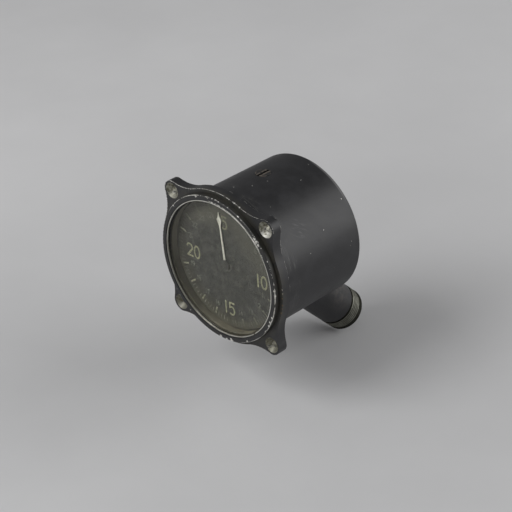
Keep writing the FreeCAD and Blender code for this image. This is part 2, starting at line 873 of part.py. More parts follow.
def bevel_gear(axis, toward_mesh, shift, hub_end, bore):
    """A straight bevel gear with its apex at the shafts' meeting point."""
    outer = bevel_cone
    inner = bevel_cone - bevel_face
    root = pitch_angle - math.atan(bevel_dedendum / bevel_cone)
    root_outer = (outer * math.sin(root), outer * math.cos(root))
    root_inner = (inner * math.sin(root), inner * math.cos(root))
    back_radius = root_outer[0] - bevel_backing * math.cos(pitch_angle)
    back_height = root_outer[1] + bevel_backing
    outline = [(0, root_inner[1]), root_inner, root_outer, (back_radius, back_height),
               (bevel_hub_radius, back_height), (bevel_hub_radius, hub_end), (0, hub_end)]
    gear = turned(outline, apex, axis)
    across = axis.cross(toward_mesh)
    pitch = 2 * math.pi * outer * math.sin(pitch_angle) / bevel_teeth
    half = pitch * bevel_tooth_width_share / 2
    tip_half = pitch * bevel_tip_share / 2
    root_half = pitch * bevel_root_share / 2
    out = toward_mesh * math.cos(pitch_angle) - axis * math.sin(pitch_angle)
    element = toward_mesh * math.sin(pitch_angle) + axis * math.cos(pitch_angle)
    sunk = bevel_dedendum + fit_gap + bevel_addendum / 2
    section = [(-sunk, -root_half), (0, -half), (bevel_addendum, -tip_half),
               (bevel_addendum, tip_half), (0, half), (-sunk, root_half)]
    wires = []
    for scale in (inner / outer, 1):
        corners = [apex + (element * outer + out * n + across * t) * scale for n, t in section]
        wires.append(Part.makePolygon(corners + corners[:1]))
    tooth = Part.makeLoft(wires, True, True)
    teeth = []
    for index in range(bevel_teeth):
        copy = tooth.copy()
        copy.rotate(apex, axis, 360.0 * (index + shift) / bevel_teeth)
        teeth.append(copy)
    gear = joined([gear] + teeth)
    hole = Part.makeCylinder(bore, hub_end + overrun, apex, axis)
    return gear.cut(hole)


def governor_gear():
    return bevel_gear(Z, Y, 0, governor_gear_hub, shaft_radius + fit_gap)


def drive_gear():
    rise = drive_way.cross(X)
    toward = rise if rise.z > 0 else -rise
    return bevel_gear(drive_way, toward, 0.5, drive_gear_hub, drive_shaft_radius + fit_gap)


def flyweight_carrier():
    """A bar on the governor shaft with two pairs of lugs for the flyweights."""
    reach = pivot_radius + lug_outer
    half_width = lug_gap + lug_plate
    pieces = [block(-reach, reach, governor_setback - half_width, governor_setback + half_width,
                    0, carrier_plate), post(carrier_hub_radius, 0, carrier_hub_height)]
    for end in (-1, 1):
        x_low, x_high = sorted((end * (pivot_radius - lug_inner), end * reach))
        for side in (-1, 1):
            y_low, y_high = sorted((governor_setback + side * lug_gap,
                                    governor_setback + side * half_width))
            pieces.append(block(x_low, x_high, y_low, y_high, 0, pivot_height + lug_top))
    whole = joined(pieces)
    whole = whole.cut(post(shaft_radius + fit_gap, -overrun, pivot_height))
    for end in (-1, 1):
        hole = rod(pivot_pin_radius + fit_gap, end * pivot_radius, pivot_height,
                   governor_setback - half_width - overrun, governor_setback + half_width + overrun)
        whole = whole.cut(hole)
    return whole


def flyweight_pins():
    half_width = lug_gap + lug_plate + ring_clearance
    pins = []
    for end in (-1, 1):
        pins.append(rod(pivot_pin_radius, end * pivot_radius, pivot_height,
                        governor_setback - half_width, governor_setback + half_width))
    return pins


def flyweight(end):
    """A bell crank: toe towards the shaft, weight above the pivot, shown closed in."""
    half_hub = lug_gap - pivot_side_gap
    low = governor_setback - half_hub
    high = governor_setback + half_hub
    hub = rod(pivot_hub_radius, pivot_radius, pivot_height, low, high)
    toe_low = governor_setback - toe_width / 2
    toe_high = governor_setback + toe_width / 2
    toe = block(-toe_reach, 0, toe_low, toe_high, -toe_plate / 2, toe_plate / 2)
    toe.rotate(ZERO, Y, -math.degrees(toe_swing))
    toe.translate(vec(pivot_radius, 0, pivot_height))
    tip_x = pivot_radius - toe_reach * math.cos(toe_swing)
    tip = rod(toe_tip_radius, tip_x, toe_rest_height, toe_low, toe_high)
    arm = block(pivot_radius - weight_arm_width / 2, pivot_radius + weight_arm_width / 2,
                toe_low, toe_high, pivot_height, pivot_height + weight_reach)
    weight = rod(weight_radius, pivot_radius, pivot_height + weight_reach,
                 governor_setback - weight_length / 2, governor_setback + weight_length / 2)
    whole = joined([hub, toe, tip, arm, weight])
    bore = rod(pivot_pin_radius + running_gap, pivot_radius, pivot_height, low - overrun,
               high + overrun)
    whole = whole.cut(bore)
    if end < 0:
        whole.rotate(vec(0, governor_setback, 0), Z, 180)
    return whole


def sliding_collar():
    """The collar: a foot for the toes, a neck, and a grooved cup that holds the spring."""
    bore = shaft_radius + running_gap
    groove_low = groove_centre - groove_half
    groove_high = groove_centre + groove_half
    low_flange = groove_low - groove_flange
    cup_start = cup_bottom - cup_floor
    outline = [(bore, collar_bottom), (collar_foot_radius, collar_bottom),
               (collar_foot_radius, collar_bottom + collar_foot),
               (collar_neck_radius, collar_bottom + collar_foot),
               (collar_neck_radius, cup_start), (cup_radius, cup_start),
               (cup_radius, low_flange), (groove_flange_radius, low_flange),
               (groove_flange_radius, groove_low), (cup_radius, groove_low),
               (cup_radius, groove_high), (groove_flange_radius, groove_high),
               (groove_flange_radius, collar_top), (cup_radius - cup_wall, collar_top),
               (cup_radius - cup_wall, cup_bottom), (bore, cup_bottom)]
    return turned(outline, vec(0, governor_setback, 0), Z)


def spring_seat_nut():
    nut = post(spring_seat_radius, seat_bottom, seat_top)
    return nut.cut(post(shaft_radius + fit_gap, seat_bottom - overrun, seat_top + overrun))


def governor_spring():
    """A compression spring in the collar's cup, up to the seat nut."""
    low = cup_bottom + spring_wire / 2 + spring_end_gap
    high = seat_bottom - spring_wire / 2 - spring_end_gap
    mean = (cup_radius - cup_wall + shaft_radius) / 2
    pitch = (high - low) / spring_turns
    path = Part.makeHelix(pitch, high - low, mean)
    path.translate(vec(0, governor_setback, low))
    start = vec(mean, governor_setback, low)
    corners = [start + vec(x, 0, z) for x, z in ring_places(spring_wire_sides, 0, spring_wire / 2)]
    section = Part.makePolygon(corners + corners[:1])
    return Part.Wire(path).makePipeShell([section], True, True)


def drive_shaft():
    """The drive shaft, with a head that has a square hole for the cable's key."""
    bar = drive_rod(drive_shaft_radius, drive_shaft_start, key_floor)
    head = drive_rod(drive_head_radius, drive_head_start, key_floor)
    whole = joined([bar, head])
    key = Part.makeBox(drive_key, drive_key, drive_key_depth + overrun)
    key.translate(vec(-drive_key / 2, -drive_key / 2, key_floor - drive_key_depth))
    key.rotate(ZERO, X, 90 + drive_tilt)
    key.translate(apex)
    return whole.cut(key)


def drive_bush(start):
    bore = drive_rod(drive_shaft_radius + running_gap, start - overrun,
                     start + drive_bush_length + overrun)
    return drive_rod(drive_bush_radius, start, start + drive_bush_length).cut(bore)


def drive_nipple():
    """The threaded nipple that the cable's nut screws onto, set into the elbow."""
    start = boss_reach - nipple_shank
    outline = [(nipple_inner_bore, start), (nipple_shank_radius, start),
               (nipple_shank_radius, boss_reach), (nipple_neck_radius, boss_reach),
               (nipple_neck_radius, nipple_back), (nipple_radius, nipple_back),
               (nipple_radius, nipple_end - nipple_chamfer),
               (nipple_radius - nipple_chamfer, nipple_end), (nipple_bore, nipple_end),
               (nipple_bore, key_floor), (nipple_inner_bore, key_floor)]
    return turned(outline, apex, drive_way)


def oil_plug():
    """A slotted screw plug in the top of the case, over the governor's upper bush."""
    place = vec(-plug_offset, governor_setback, plug_top)
    head = Part.makeCylinder(plug_head_radius, plug_head, place, -Z)
    shank = Part.makeCylinder(plug_shank_radius, plug_head + plug_shank, place, -Z)
    plug = joined([head, shank])
    return slotted(plug, place, Z, Y, plug_head_radius, plug_slot_width, plug_slot_depth)


save("case", [case()])
save("cover_glass", [cover_glass()])
save("glass_gasket", [glass_gasket()])
save("snap_ring", [snap_ring()])
save("dial", [dial()])
save("pointer", [pointer()])
save("pointer_arbor", [pointer_arbor()])
save("hairspring_collet", [hairspring_collet()])
save("hairspring", [hairspring()])
save("hairspring_stud", [hairspring_stud()])
save("front_plate", [front_plate()])
save("rear_plate", [rear_plate()])
save("plate_pillars", plate_pillars())
save("plate_screws", plate_screws())
save("movement_posts", movement_posts())
save("movement_screws", movement_screws())
save("sector_gear", [sector_gear()])
save("sector_stop_pins", sector_stop_pins())
save("rock_shaft", [rock_shaft()])
save("collar_fork", [collar_fork()])
save("governor_frame", [governor_frame()])
save("frame_screws", frame_screws())
save("lower_bush", [lower_bush()])
save("upper_bush", [upper_bush()])
save("governor_shaft", [governor_shaft()])
save("governor_gear", [governor_gear()])
save("flyweight_carrier", [flyweight_carrier()])
save("flyweight_pins", flyweight_pins())
save("flyweight_right", [flyweight(1)])
save("flyweight_left", [flyweight(-1)])
save("sliding_collar", [sliding_collar()])
save("spring_seat_nut", [spring_seat_nut()])
save("governor_spring", [governor_spring()])
save("drive_shaft", [drive_shaft()])
save("drive_gear", [drive_gear()])
save("inner_drive_bush", [drive_bush(inner_boss_start)])
save("outer_drive_bush", [drive_bush(outer_bush_start)])
save("drive_nipple", [drive_nipple()])
save("oil_plug", [oil_plug()])
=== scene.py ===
# %% [markdown]
# This file dresses a panel tachometer for its portrait. The imported CAD model comes in first as
# a fixed frame: every metal piece already has its place and moves on its own joint. Only what the
# CAD leaves out is made here: paint, wear, the cut thread, a wound governor spring, and the print
# on the dial.

import json
import math

import bpy
import numpy as np
from mathutils import Matrix, Vector

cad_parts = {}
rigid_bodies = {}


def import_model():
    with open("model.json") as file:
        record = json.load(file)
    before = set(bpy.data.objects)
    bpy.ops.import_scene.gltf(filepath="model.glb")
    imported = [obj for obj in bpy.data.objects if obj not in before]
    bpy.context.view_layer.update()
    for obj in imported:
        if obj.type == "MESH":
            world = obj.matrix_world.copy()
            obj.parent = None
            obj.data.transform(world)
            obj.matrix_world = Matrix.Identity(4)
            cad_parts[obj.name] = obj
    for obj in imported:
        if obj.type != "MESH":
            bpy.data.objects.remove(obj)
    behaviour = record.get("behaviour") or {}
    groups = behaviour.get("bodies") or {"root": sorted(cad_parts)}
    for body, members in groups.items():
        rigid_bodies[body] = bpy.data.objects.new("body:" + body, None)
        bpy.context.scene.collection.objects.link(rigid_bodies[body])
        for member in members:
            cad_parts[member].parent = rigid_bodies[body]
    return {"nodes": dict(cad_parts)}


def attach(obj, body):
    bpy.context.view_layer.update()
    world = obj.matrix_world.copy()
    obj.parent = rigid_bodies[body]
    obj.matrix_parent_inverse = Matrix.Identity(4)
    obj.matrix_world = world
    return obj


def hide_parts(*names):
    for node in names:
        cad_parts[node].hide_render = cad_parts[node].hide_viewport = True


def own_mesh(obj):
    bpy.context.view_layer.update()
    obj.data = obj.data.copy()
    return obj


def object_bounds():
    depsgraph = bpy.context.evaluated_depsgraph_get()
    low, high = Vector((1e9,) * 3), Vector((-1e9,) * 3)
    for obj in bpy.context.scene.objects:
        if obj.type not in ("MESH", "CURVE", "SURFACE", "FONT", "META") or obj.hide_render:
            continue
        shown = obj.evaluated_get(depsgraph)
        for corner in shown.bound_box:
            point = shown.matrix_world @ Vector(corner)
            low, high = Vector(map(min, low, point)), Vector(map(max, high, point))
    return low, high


for leftover in list(bpy.data.objects):
    bpy.data.objects.remove(leftover)
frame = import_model()
nodes = frame["nodes"]
cad_low, cad_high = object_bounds()
MM = 0.001
print("nodes", len(nodes), "box in mm", [round(v / MM, 1) for v in (*cad_low, *cad_high)])

# %% [markdown]
# The camera stands where the photographer's did. Its place was worked out from the four ear
# holes, the rim, the ring and the rear edge of the case: from the right, above the dial's
# axis, with a small roll and a long lens, so that the case hardly narrows to the rear.

# %% Place the camera
LENS = 109.33
SENSOR = 36.0
IMAGE = 512
AIM = Vector((0.0, 0.030, 0.0))
AIM_PIXEL = (271.997, 239.841)
AZIMUTH, ELEVATION, ROLL = (math.radians(v) for v in (46.127, 29.645, -3.414))
DISTANCE = 0.76833

toward_camera = Vector((math.sin(AZIMUTH) * math.cos(ELEVATION),
                        -math.cos(AZIMUTH) * math.cos(ELEVATION), math.sin(ELEVATION)))
level_right = (-toward_camera).cross(Vector((0, 0, 1))).normalized()
level_up = level_right.cross(-toward_camera)
right = level_right * math.cos(ROLL) + level_up * math.sin(ROLL)
up = level_up * math.cos(ROLL) - level_right * math.sin(ROLL)
pixel_size = DISTANCE / (LENS / SENSOR * IMAGE)
place = (AIM + toward_camera * DISTANCE
         - right * ((AIM_PIXEL[0] - IMAGE / 2) * pixel_size)
         + up * ((AIM_PIXEL[1] - IMAGE / 2) * pixel_size))

camera_data = bpy.data.cameras.new("camera")
camera_data.lens = LENS
camera_data.sensor_width = SENSOR
camera_data.clip_start = 0.05
camera_data.clip_end = 20.0
camera = bpy.data.objects.new("camera", camera_data)
turn = Matrix((right, up, toward_camera)).transposed()
camera.matrix_world = Matrix.Translation(place) @ turn.to_4x4()
bpy.context.scene.collection.objects.link(camera)
bpy.context.scene.camera = camera
bpy.context.scene.view_settings.view_transform = "Standard"
print("camera at", [round(v, 3) for v in place])

# %% [markdown]
# Node trees get long when every socket is wired by hand, so a few helpers come first. Each
# one adds a single step of sums to the tree that its sockets belong to and gives back the
# socket to use next. A plain number can stand wherever a socket can.

# %% Helpers for sums
def feed(socket, value):
    """Links a socket's value, or sets it when the value is a plain number or colour."""
    if isinstance(value, bpy.types.NodeSocket):
        socket.id_data.links.new(value, socket)
    elif value is not None:
        socket.default_value = value


def new_node(kind, *values):
    """A new node in the tree that the first socket among some values belongs to."""
    tree = next(v.id_data for v in values if isinstance(v, bpy.types.NodeSocket))
    return tree.nodes.new(kind)


def maths(operation, a, b=None, c=None):
    """One sum on up to three values, at least one of them a socket."""
    node = new_node("ShaderNodeMath", a, b, c)
    node.operation = operation
    for socket, value in zip(node.inputs, (a, b, c)):
        feed(socket, value)
    return node.outputs[0]


def plus(a, b):
    return maths("ADD", a, b)


def minus(a, b):
    return maths("SUBTRACT", a, b)


def times(a, b):
    return maths("MULTIPLY", a, b)


def larger(a, b):
    return maths("MAXIMUM", a, b)


def scaled(value, slope, start):
    """The start plus the value times the slope."""
    return maths("MULTIPLY_ADD", value, slope, start)


def length_of(a, b):
    """Length of a step of a one way and b square to it: the root of both squares added."""
    squares = plus(maths("POWER", a, 2.0), maths("POWER", b, 2.0))
    return maths("SQRT", squares)


def soft_step(value, low, high, first=0.0, last=1.0):
    """Rises smoothly from first to last as value goes from low to high."""
    node = new_node("ShaderNodeMapRange", value)
    node.interpolation_type = "SMOOTHSTEP"
    for socket, given in zip(node.inputs, (value, low, high, first, last)):
        feed(socket, given)
    return node.outputs[0]


def blended(factor, first, second):
    """Goes from the first colour to the second as factor goes from 0 to 1."""
    node = new_node("ShaderNodeMix", factor)
    node.data_type = "RGBA"
    for label, value in (("Factor", factor), ("A", first), ("B", second)):
        feed(node.inputs[label], (*value, 1.0) if isinstance(value, tuple) else value)
    return node.outputs["Result"]


print("helpers for sums ready")

# %% [markdown]
# Measures in the materials are millimetres, read from the object's own coordinates, so a
# pattern stays on its piece when the piece turns.

# %% Helpers for places and finishes
def stretched(where, amounts):
    """The place multiplied by an amount for each axis, so that a pattern on it runs long."""
    node = new_node("ShaderNodeVectorMath", where)
    node.operation = "MULTIPLY"
    feed(node.inputs[0], where)
    node.inputs[1].default_value = amounts
    return node.outputs[0]


def millimetres(tree):
    """The place on the piece in millimetres, from its own object coordinates."""
    here = tree.nodes.new("ShaderNodeTexCoord").outputs["Object"]
    return stretched(here, (1 / MM, 1 / MM, 1 / MM))


def parts_of(where):
    """The three measures of a place."""
    node = new_node("ShaderNodeSeparateXYZ", where)
    feed(node.inputs[0], where)
    return node.outputs[0], node.outputs[1], node.outputs[2]


def place_of(first, second):
    """A place from two measures, for a pattern that follows a curved surface."""
    node = new_node("ShaderNodeCombineXYZ", first, second)
    feed(node.inputs[0], first)
    feed(node.inputs[1], second)
    return node.outputs[0]


def bumped(height, depth_mm):
    """A normal from a height of 0 to 1 that stands for depth_mm of relief."""
    node = new_node("ShaderNodeBump", height)
    node.inputs["Distance"].default_value = depth_mm * MM
    feed(node.inputs["Height"], height)
    return node.outputs["Normal"]


def new_finish(name, metallic=0.0, rough=0.5):
    """A material with its Principled shader and the place on it in millimetres."""
    finish = bpy.data.materials.new(name)
    finish.use_nodes = True
    shader = finish.node_tree.nodes["Principled BSDF"]
    shader.inputs["Metallic"].default_value = metallic
    shader.inputs["Roughness"].default_value = rough
    return finish, shader, millimetres(finish.node_tree)


def coated(shader, colour, rough=None):
    """Links a shader's colour, and its roughness where that varies over the surface."""
    feed(shader.inputs["Base Color"], colour)
    feed(shader.inputs["Roughness"], rough)


def dress(finish, *names):
    """Gives CAD nodes a finish in place of the plain one they came with."""
    for name in names:
        nodes[name].data.materials.clear()
        nodes[name].data.materials.append(finish)


print("helpers for finishes ready")

# %% [markdown]
# Four effects come back on many finishes: cloudy patches of grime, fine grain, long thin
# scratches, and wear along a turned edge. Each is built once as a node group with named
# inputs, and each finish places it with its own values.

# %% Helpers for groups
def new_group(name, inputs, output):
    """An empty node group with number or vector inputs and one output, and both its ends."""
    group = bpy.data.node_groups.new(name, "ShaderNodeTree")
    for label, value in inputs:
        kind = "NodeSocketVector" if value is None else "NodeSocketFloat"
        socket = group.interface.new_socket(label, in_out="INPUT", socket_type=kind)
        if value is not None:
            socket.default_value = value
    group.interface.new_socket(output, in_out="OUTPUT", socket_type="NodeSocketFloat")
    entry = group.nodes.new("NodeGroupInput")
    leave = group.nodes.new("NodeGroupOutput")
    return group, entry.outputs, leave.inputs


def placed(group, **values):
    """One use of a group, with its inputs set by name."""
    node = new_node("ShaderNodeGroup", *values.values())
    node.node_tree = group
    for label, value in values.items():
        feed(node.inputs[label], value)
    return node.outputs[0]


def scaled_noise(where, size, detail, rough):
    """Noise whose blotches are about size across, where size may be a socket."""
    node = new_node("ShaderNodeTexNoise", where)
    feed(node.inputs["Vector"], where)
    fineness = 1.0 / size if isinstance(size, float) else maths("DIVIDE", 1.0, size)
    feed(node.inputs["Scale"], fineness)
    node.inputs["Detail"].default_value = detail
    node.inputs["Roughness"].default_value = rough
    return node.outputs["Fac"]


def cloudy(where, size, low, high):
    """Patches about size across: 0 where the noise is below low, 1 where it is above high."""
    return placed(patches, Place=where, Size=size, From=low, To=high)


def grained(shader, where, size, depth_mm):
    """Gives a shader the relief of a fine grain."""
    speckled = placed(grain, Place=where, Size=size, Spread=1.0)
    feed(shader.inputs["Normal"], bumped(speckled, depth_mm))


print("helpers for groups ready")

# %% [markdown]
# Patches and grain are noise, cut off softly or centred on nothing. A scratch is a thin band
# where the noise crosses its middle. A worn edge fades with the distance from a circle.

# %% Groups for grime, grain, scratches and worn edges
patches, inside, out = new_group(
    "cloudy patches", [("Place", None), ("Size", 8.0), ("From", 0.45), ("To", 0.62)], "Mask")
cloud = scaled_noise(inside["Place"], inside["Size"], 5.0, 0.6)
feed(out["Mask"], soft_step(cloud, inside["From"], inside["To"]))

grain, inside, out = new_group(
    "fine grain", [("Place", None), ("Size", 0.3), ("Spread", 0.2)], "Shift")
speckle = scaled_noise(inside["Place"], inside["Size"], 2.0, 0.7)
feed(out["Shift"], times(minus(speckle, 0.5), inside["Spread"]))

scratches, inside, out = new_group(
    "thin scratches", [("Place", None), ("Spacing", 1.0), ("Share", 0.12)], "Mask")
lines = scaled_noise(inside["Place"], inside["Spacing"], 2.0, 0.5)
near = maths("ABSOLUTE", minus(lines, 0.5))
thin = times(inside["Share"], 0.1)
feed(out["Mask"], minus(1.0, soft_step(near, 0.0, thin)))

round_edge, inside, out = new_group(
    "worn round edge",
    [("Place", None), ("Radius", 10.0), ("Station", 0.0), ("Width", 0.5)], "Mask")
across, along, height = parts_of(inside["Place"])
off_radius = minus(length_of(across, height), inside["Radius"])
off_station = minus(along, inside["Station"])
gap = length_of(off_radius, off_station)
feed(out["Mask"], minus(1.0, soft_step(gap, 0.0, inside["Width"])))
print("groups", [g.name for g in bpy.data.node_groups])

# %% [markdown]
# The case is a light-alloy casting under satin black enamel. Handling has rubbed the enamel
# thin along the flange and the rim, where the bare metal shows as a broken bright line, and
# left small chips. The flange's outline is a disc with four ears: its distance is worked out
# in the material from the same radii as in the CAD, so the wear follows the true edge.

# %% Distance from the flange's outline
FLANGE_FRONT, FLANGE_BACK = -5.0, 0.0
FLANGE_RADIUS = 40.65
EAR_PLACE = 31.43
EAR_RADIUS = 5.2
BLEND_RADIUS = 24.0


def blend_centre():
    """Centre of the hollow between disc and ear: both circles' distances grown by its radius."""
    ear = np.array([EAR_PLACE, EAR_PLACE])
    far = np.linalg.norm(ear)
    a, b = FLANGE_RADIUS + BLEND_RADIUS, EAR_RADIUS + BLEND_RADIUS
    share = (a * a - b * b + far * far) / (2 * far)
    side = math.sqrt(a * a - share * share)
    way = ear / far
    return way * share + np.array([-way[1], way[0]]) * side


def outline_gap(where):
    """Distance in the flange's plane from its outline, folded into one eighth of the flange."""
    x, _, z = parts_of(where)
    x, z = maths("ABSOLUTE", x), maths("ABSOLUTE", z)
    low, high = maths("MINIMUM", x, z), larger(x, z)

    def reach(cx, cz):
        return length_of(minus(low, cx), minus(high, cz))

    middle = blend_centre()
    disc = minus(reach(0.0, 0.0), FLANGE_RADIUS)
    ear = minus(reach(EAR_PLACE, EAR_PLACE), EAR_RADIUS)
    hollow = minus(BLEND_RADIUS, reach(middle[0], middle[1]))
    disc_touch = middle * FLANGE_RADIUS / np.linalg.norm(middle)
    ear_middle = np.array([EAR_PLACE, EAR_PLACE])
    ear_way = (middle - ear_middle) / np.linalg.norm(middle - ear_middle)
    ear_touch = ear_middle + ear_way * EAR_RADIUS
    on_disc = maths("LESS_THAN", low, float(disc_touch[0]))
    on_ear = maths("GREATER_THAN", low, float(ear_touch[0]))
    between = minus(1.0, plus(on_disc, on_ear))
    outer = plus(times(disc, on_disc), times(ear, on_ear))
    return maths("ABSOLUTE", plus(outer, times(hollow, between)))


print("hollow centre in mm", blend_centre().round(2))

# %% [markdown]
# Chips and specks are single spots. Most are given by a clock angle, a radius and a station
# along the dial's axis, as they can be read on the photo, and each has its own size.

# %% Where the enamel is chipped
CASE_RADIUS = 37.0


def on_rim(clock_angle, radius, station):
    """A place on the rim; the angle runs clockwise from the top as the dial is faced."""
    angle = math.radians(clock_angle)
    return radius * math.sin(angle), station, radius * math.cos(angle)


CHIPS = [(on_rim(angle, radius, station), size) for angle, radius, station, size in (
    (45.5, 37.6, -8.0, 0.9), (48, 37.6, -8.0, 1.2), (50.5, 37.8, -8.0, 0.9),
    (-17, 38.0, -7.9, 0.8), (-12, 38.3, -7.9, 0.5), (-5, 38.2, -7.9, 0.8), (3, 38.4, -7.7, 0.6),
    (-48, 38.2, -7.9, 0.9), (-45, 38.4, -7.8, 0.7), (-42, 38.5, -7.8, 0.5),
    (86, 38.3, -7.8, 0.8), (90, 38.4, -7.6, 0.6), (110, 37.9, -8.0, 0.7), (115, 37.8, -8.0, 0.8),
    (119, 37.9, -8.0, 0.6), (126, 38.0, -8.0, 0.5), (152, 38.0, -8.0, 0.9),
    (170, 37.8, -8.0, 1.2), (175, 38.1, -8.0, 0.8), (181, 38.0, -8.0, 0.9),
    (215, 38.2, -8.0, 0.6), (234, 38.5, -7.9, 0.6), (229, 38.5, -7.9, 0.7),
    (226.5, 38.4, -7.9, 0.5), (86, 40.5, -5.0, 0.6), (89, 40.5, -5.0, 0.4), (93, 40.4, -5.0, 0.5),
    (98, 40.5, -5.0, 0.6), (101, 40.5, -5.0, 0.5), (105, 40.5, -5.0, 0.7),
    (109, 40.4, -5.0, 0.4), (17, 40.5, -5.0, 0.5), (22, 40.5, -5.0, 0.6), (12, 40.4, -5.0, 0.4))]
SPECKS = [(on_rim(angle, CASE_RADIUS, station), size) for angle, station, size in (
    (5, 15.7, 0.3), (64, 32.1, 0.3), (83, 47.8, 0.45), (86, 46.9, 0.25), (-4, 9.0, 0.25),
    (8, 24.0, 0.2), (30, 12.0, 0.2), (75, 20.0, 0.22), (22, 38.0, 0.2), (97, 35.0, 0.25),
    (50, 50.5, 0.25), (12, 50.0, 0.2), (110, 12.0, 0.3))]
BOSS_WEAR = (10.3, 69.0, -44.0)
CASE_SCUFF = (30.1, 18.1, 21.5)
print("chips", len(CHIPS), "specks", len(SPECKS))

# %% [markdown]
# The enamel itself is never one flat black. It varies in broad patches, dust has settled in the
# corner round the rim and is painted light enough to serve as painted fill light in that shaded
# groove, the elbow's boss is worn, and the wall of the mouth behind the ring is an olive brown
# raised with painted light against the rim's shadow, lighter at the upper left where that shadow
# falls and darker at the lower left.

# %% Tones of the enamel
MOUTH_RADIUS = 36.2
MOUTH_FRONT, MOUTH_BACK = -7.2, -0.5
RIM_RADIUS = 38.6

enamel, shader, here = new_finish("black enamel on alloy")
x, y, z = parts_of(here)
radius = length_of(x, z)


def toward(clock_angle):
    """How far a point of the case lies out in the direction of a clock angle."""
    angle = math.radians(clock_angle)
    return plus(times(x, math.sin(angle)), times(z, math.cos(angle)))


def away_from(spot):
    """Distance of a point of the case from one spot, in millimetres."""
    away = new_node("ShaderNodeVectorMath", here)
    away.operation = "DISTANCE"
    feed(away.inputs[0], here)
    away.inputs[1].default_value = spot
    return away.outputs["Value"]


grime = cloudy(here, 9.0, 0.35, 0.7)
paint = blended(grime, (0.0112, 0.0112, 0.0125), (0.020, 0.020, 0.022))
between = times(maths("LESS_THAN", y, MOUTH_BACK), maths("GREATER_THAN", y, MOUTH_FRONT))
in_mouth = times(maths("LESS_THAN", radius, MOUTH_RADIUS), between)
# Painted light: the mouth's wall is lightened, most at the upper left where the rim's shadow
# falls.
wall_tone_with_painted_light = blended(soft_step(toward(235), 24.0, 34.0), (0.105, 0.096, 0.066),
                    (0.064, 0.058, 0.038))
wall_tone_with_painted_light = blended(soft_step(toward(310), 14.0, 32.0), wall_tone_with_painted_light, (0.210, 0.198, 0.140))
paint = blended(in_mouth, paint, wall_tone_with_painted_light)
# Dust in the corner round the rim, painted light enough to serve also as painted fill light in
# the shaded groove.
corner_gap = length_of(minus(radius, RIM_RADIUS), minus(y, FLANGE_FRONT))
corner_dust_and_fill_light = times(soft_step(corner_gap, 4.5, 0.5, 0.0, 0.7), cloudy(here, 4.0, 0.25, 0.6))
paint = blended(corner_dust_and_fill_light, paint, (0.048, 0.045, 0.034))
boss_worn = times(soft_step(away_from(BOSS_WEAR), 13.0, 3.0), cloudy(here, 3.0, 0.36, 0.62))
paint = blended(times(boss_worn, 0.8), paint, (0.052, 0.045, 0.040))
print("enamel tones mixed")

# %% [markdown]
# Wear is a mask that grows towards an edge and is broken up by patches. Where the mask passes
# a limit the paint is gone. The flange wore most at the top, where hands hold it; the rim
# wore at the lower right, the left and the upper left; its inner lip at the upper right.

# %% Worn edges
RIM_EDGE_RADIUS, RIM_EDGE_STATION = 38.4, -7.8
LIP_WORN, LIP_STATION = 36.75, -7.3
REAR_EDGE_RADIUS, REAR_EDGE_STATION = 36.6, 53.9
WORN_THROUGH = 0.45

broken = cloudy(here, 2.2, 0.44, 0.56)
broken_fine = cloudy(here, 0.7, 0.4, 0.55)
outline = outline_gap(here)


def edge_mask(station, width):
    """Closeness to the flange's outline at one of its faces."""
    gap = length_of(outline, minus(y, station))
    return minus(1.0, soft_step(gap, 0.0, width))


spared = times(soft_step(x, 30.5, 33.5), soft_step(z, 34.0, 30.0, 0.0, 0.62))
spared = larger(spared, times(soft_step(x, 4.0, 12.0), soft_step(z, 15.0, 25.0, 0.0, 0.38)))
handled = times(soft_step(z, -6.0, 12.0, 0.62, 1.0), minus(1.0, spared))
front_worn = times(edge_mask(FLANGE_FRONT, 0.42), times(broken_fine, handled))
back_worn = times(edge_mask(FLANGE_BACK, 0.35), times(broken, 0.48))
worn = larger(front_worn, back_worn)

rim_zone = larger(soft_step(toward(120), 25.0, 31.0),
                  soft_step(toward(285), 30.0, 36.0, 0.0, 0.7))
rim_zone = larger(rim_zone, soft_step(toward(328), 33.0, 37.0, 0.0, 0.9))
uneven = cloudy(here, 3.5, 0.35, 0.62)
sparse = cloudy(here, 1.3, 0.56, 0.62)
rim_wear = larger(sparse, times(rim_zone, scaled(uneven, 0.65, 0.35)))
rim_edge = placed(round_edge, Place=here, Radius=RIM_EDGE_RADIUS,
                  Station=RIM_EDGE_STATION, Width=0.5)
worn = larger(worn, times(rim_edge, rim_wear))

on_lip = times(soft_step(radius, LIP_WORN, LIP_WORN - 0.15), maths("LESS_THAN", y, LIP_STATION))
lip_edge = times(soft_step(toward(28), 27.0, 34.0), on_lip)
worn = larger(worn, times(lip_edge, scaled(broken_fine, 0.45, 0.33)))
rear_edge = placed(round_edge, Place=here, Radius=REAR_EDGE_RADIUS,
                   Station=REAR_EDGE_STATION, Width=0.5)
worn = larger(worn, times(rear_edge, times(broken_fine, 0.5)))

ragged_edge = scaled_noise(here, 0.8, 3.0, 0.7)
for spot, size in CHIPS + SPECKS:
    ragged = scaled(ragged_edge, size * 3.0, away_from(spot))
    worn = larger(worn, maths("LESS_THAN", ragged, size * 2.2))
rubbed = maths("GREATER_THAN", worn, WORN_THROUGH)
print("edges worn")

# %% [markdown]
# Rings are rubbed into the enamel just behind the flange, where the panel's edge once bore on the
# case. A few slanting scuffs lie below the upper right ear, and the case's rear edge carries a
# painted highlight at the upper right.

# %% Rubbed rings, scuffs and a painted highlight on the rear edge
turn_angle = maths("ARCTAN2", x, z)
ring_place = place_of(times(turn_angle, 3.0), times(y, 5.0))
ring_lines = placed(scratches, Place=ring_place, Spacing=2.4, Share=0.35)
ring_zone = times(soft_step(y, 2.0, 5.0), soft_step(y, 13.0, 8.0))
ring_rub = times(times(ring_lines, ring_zone), cloudy(here, 14.0, 0.45, 0.6))
paint = blended(times(ring_rub, 0.6), paint, (0.15, 0.15, 0.14))

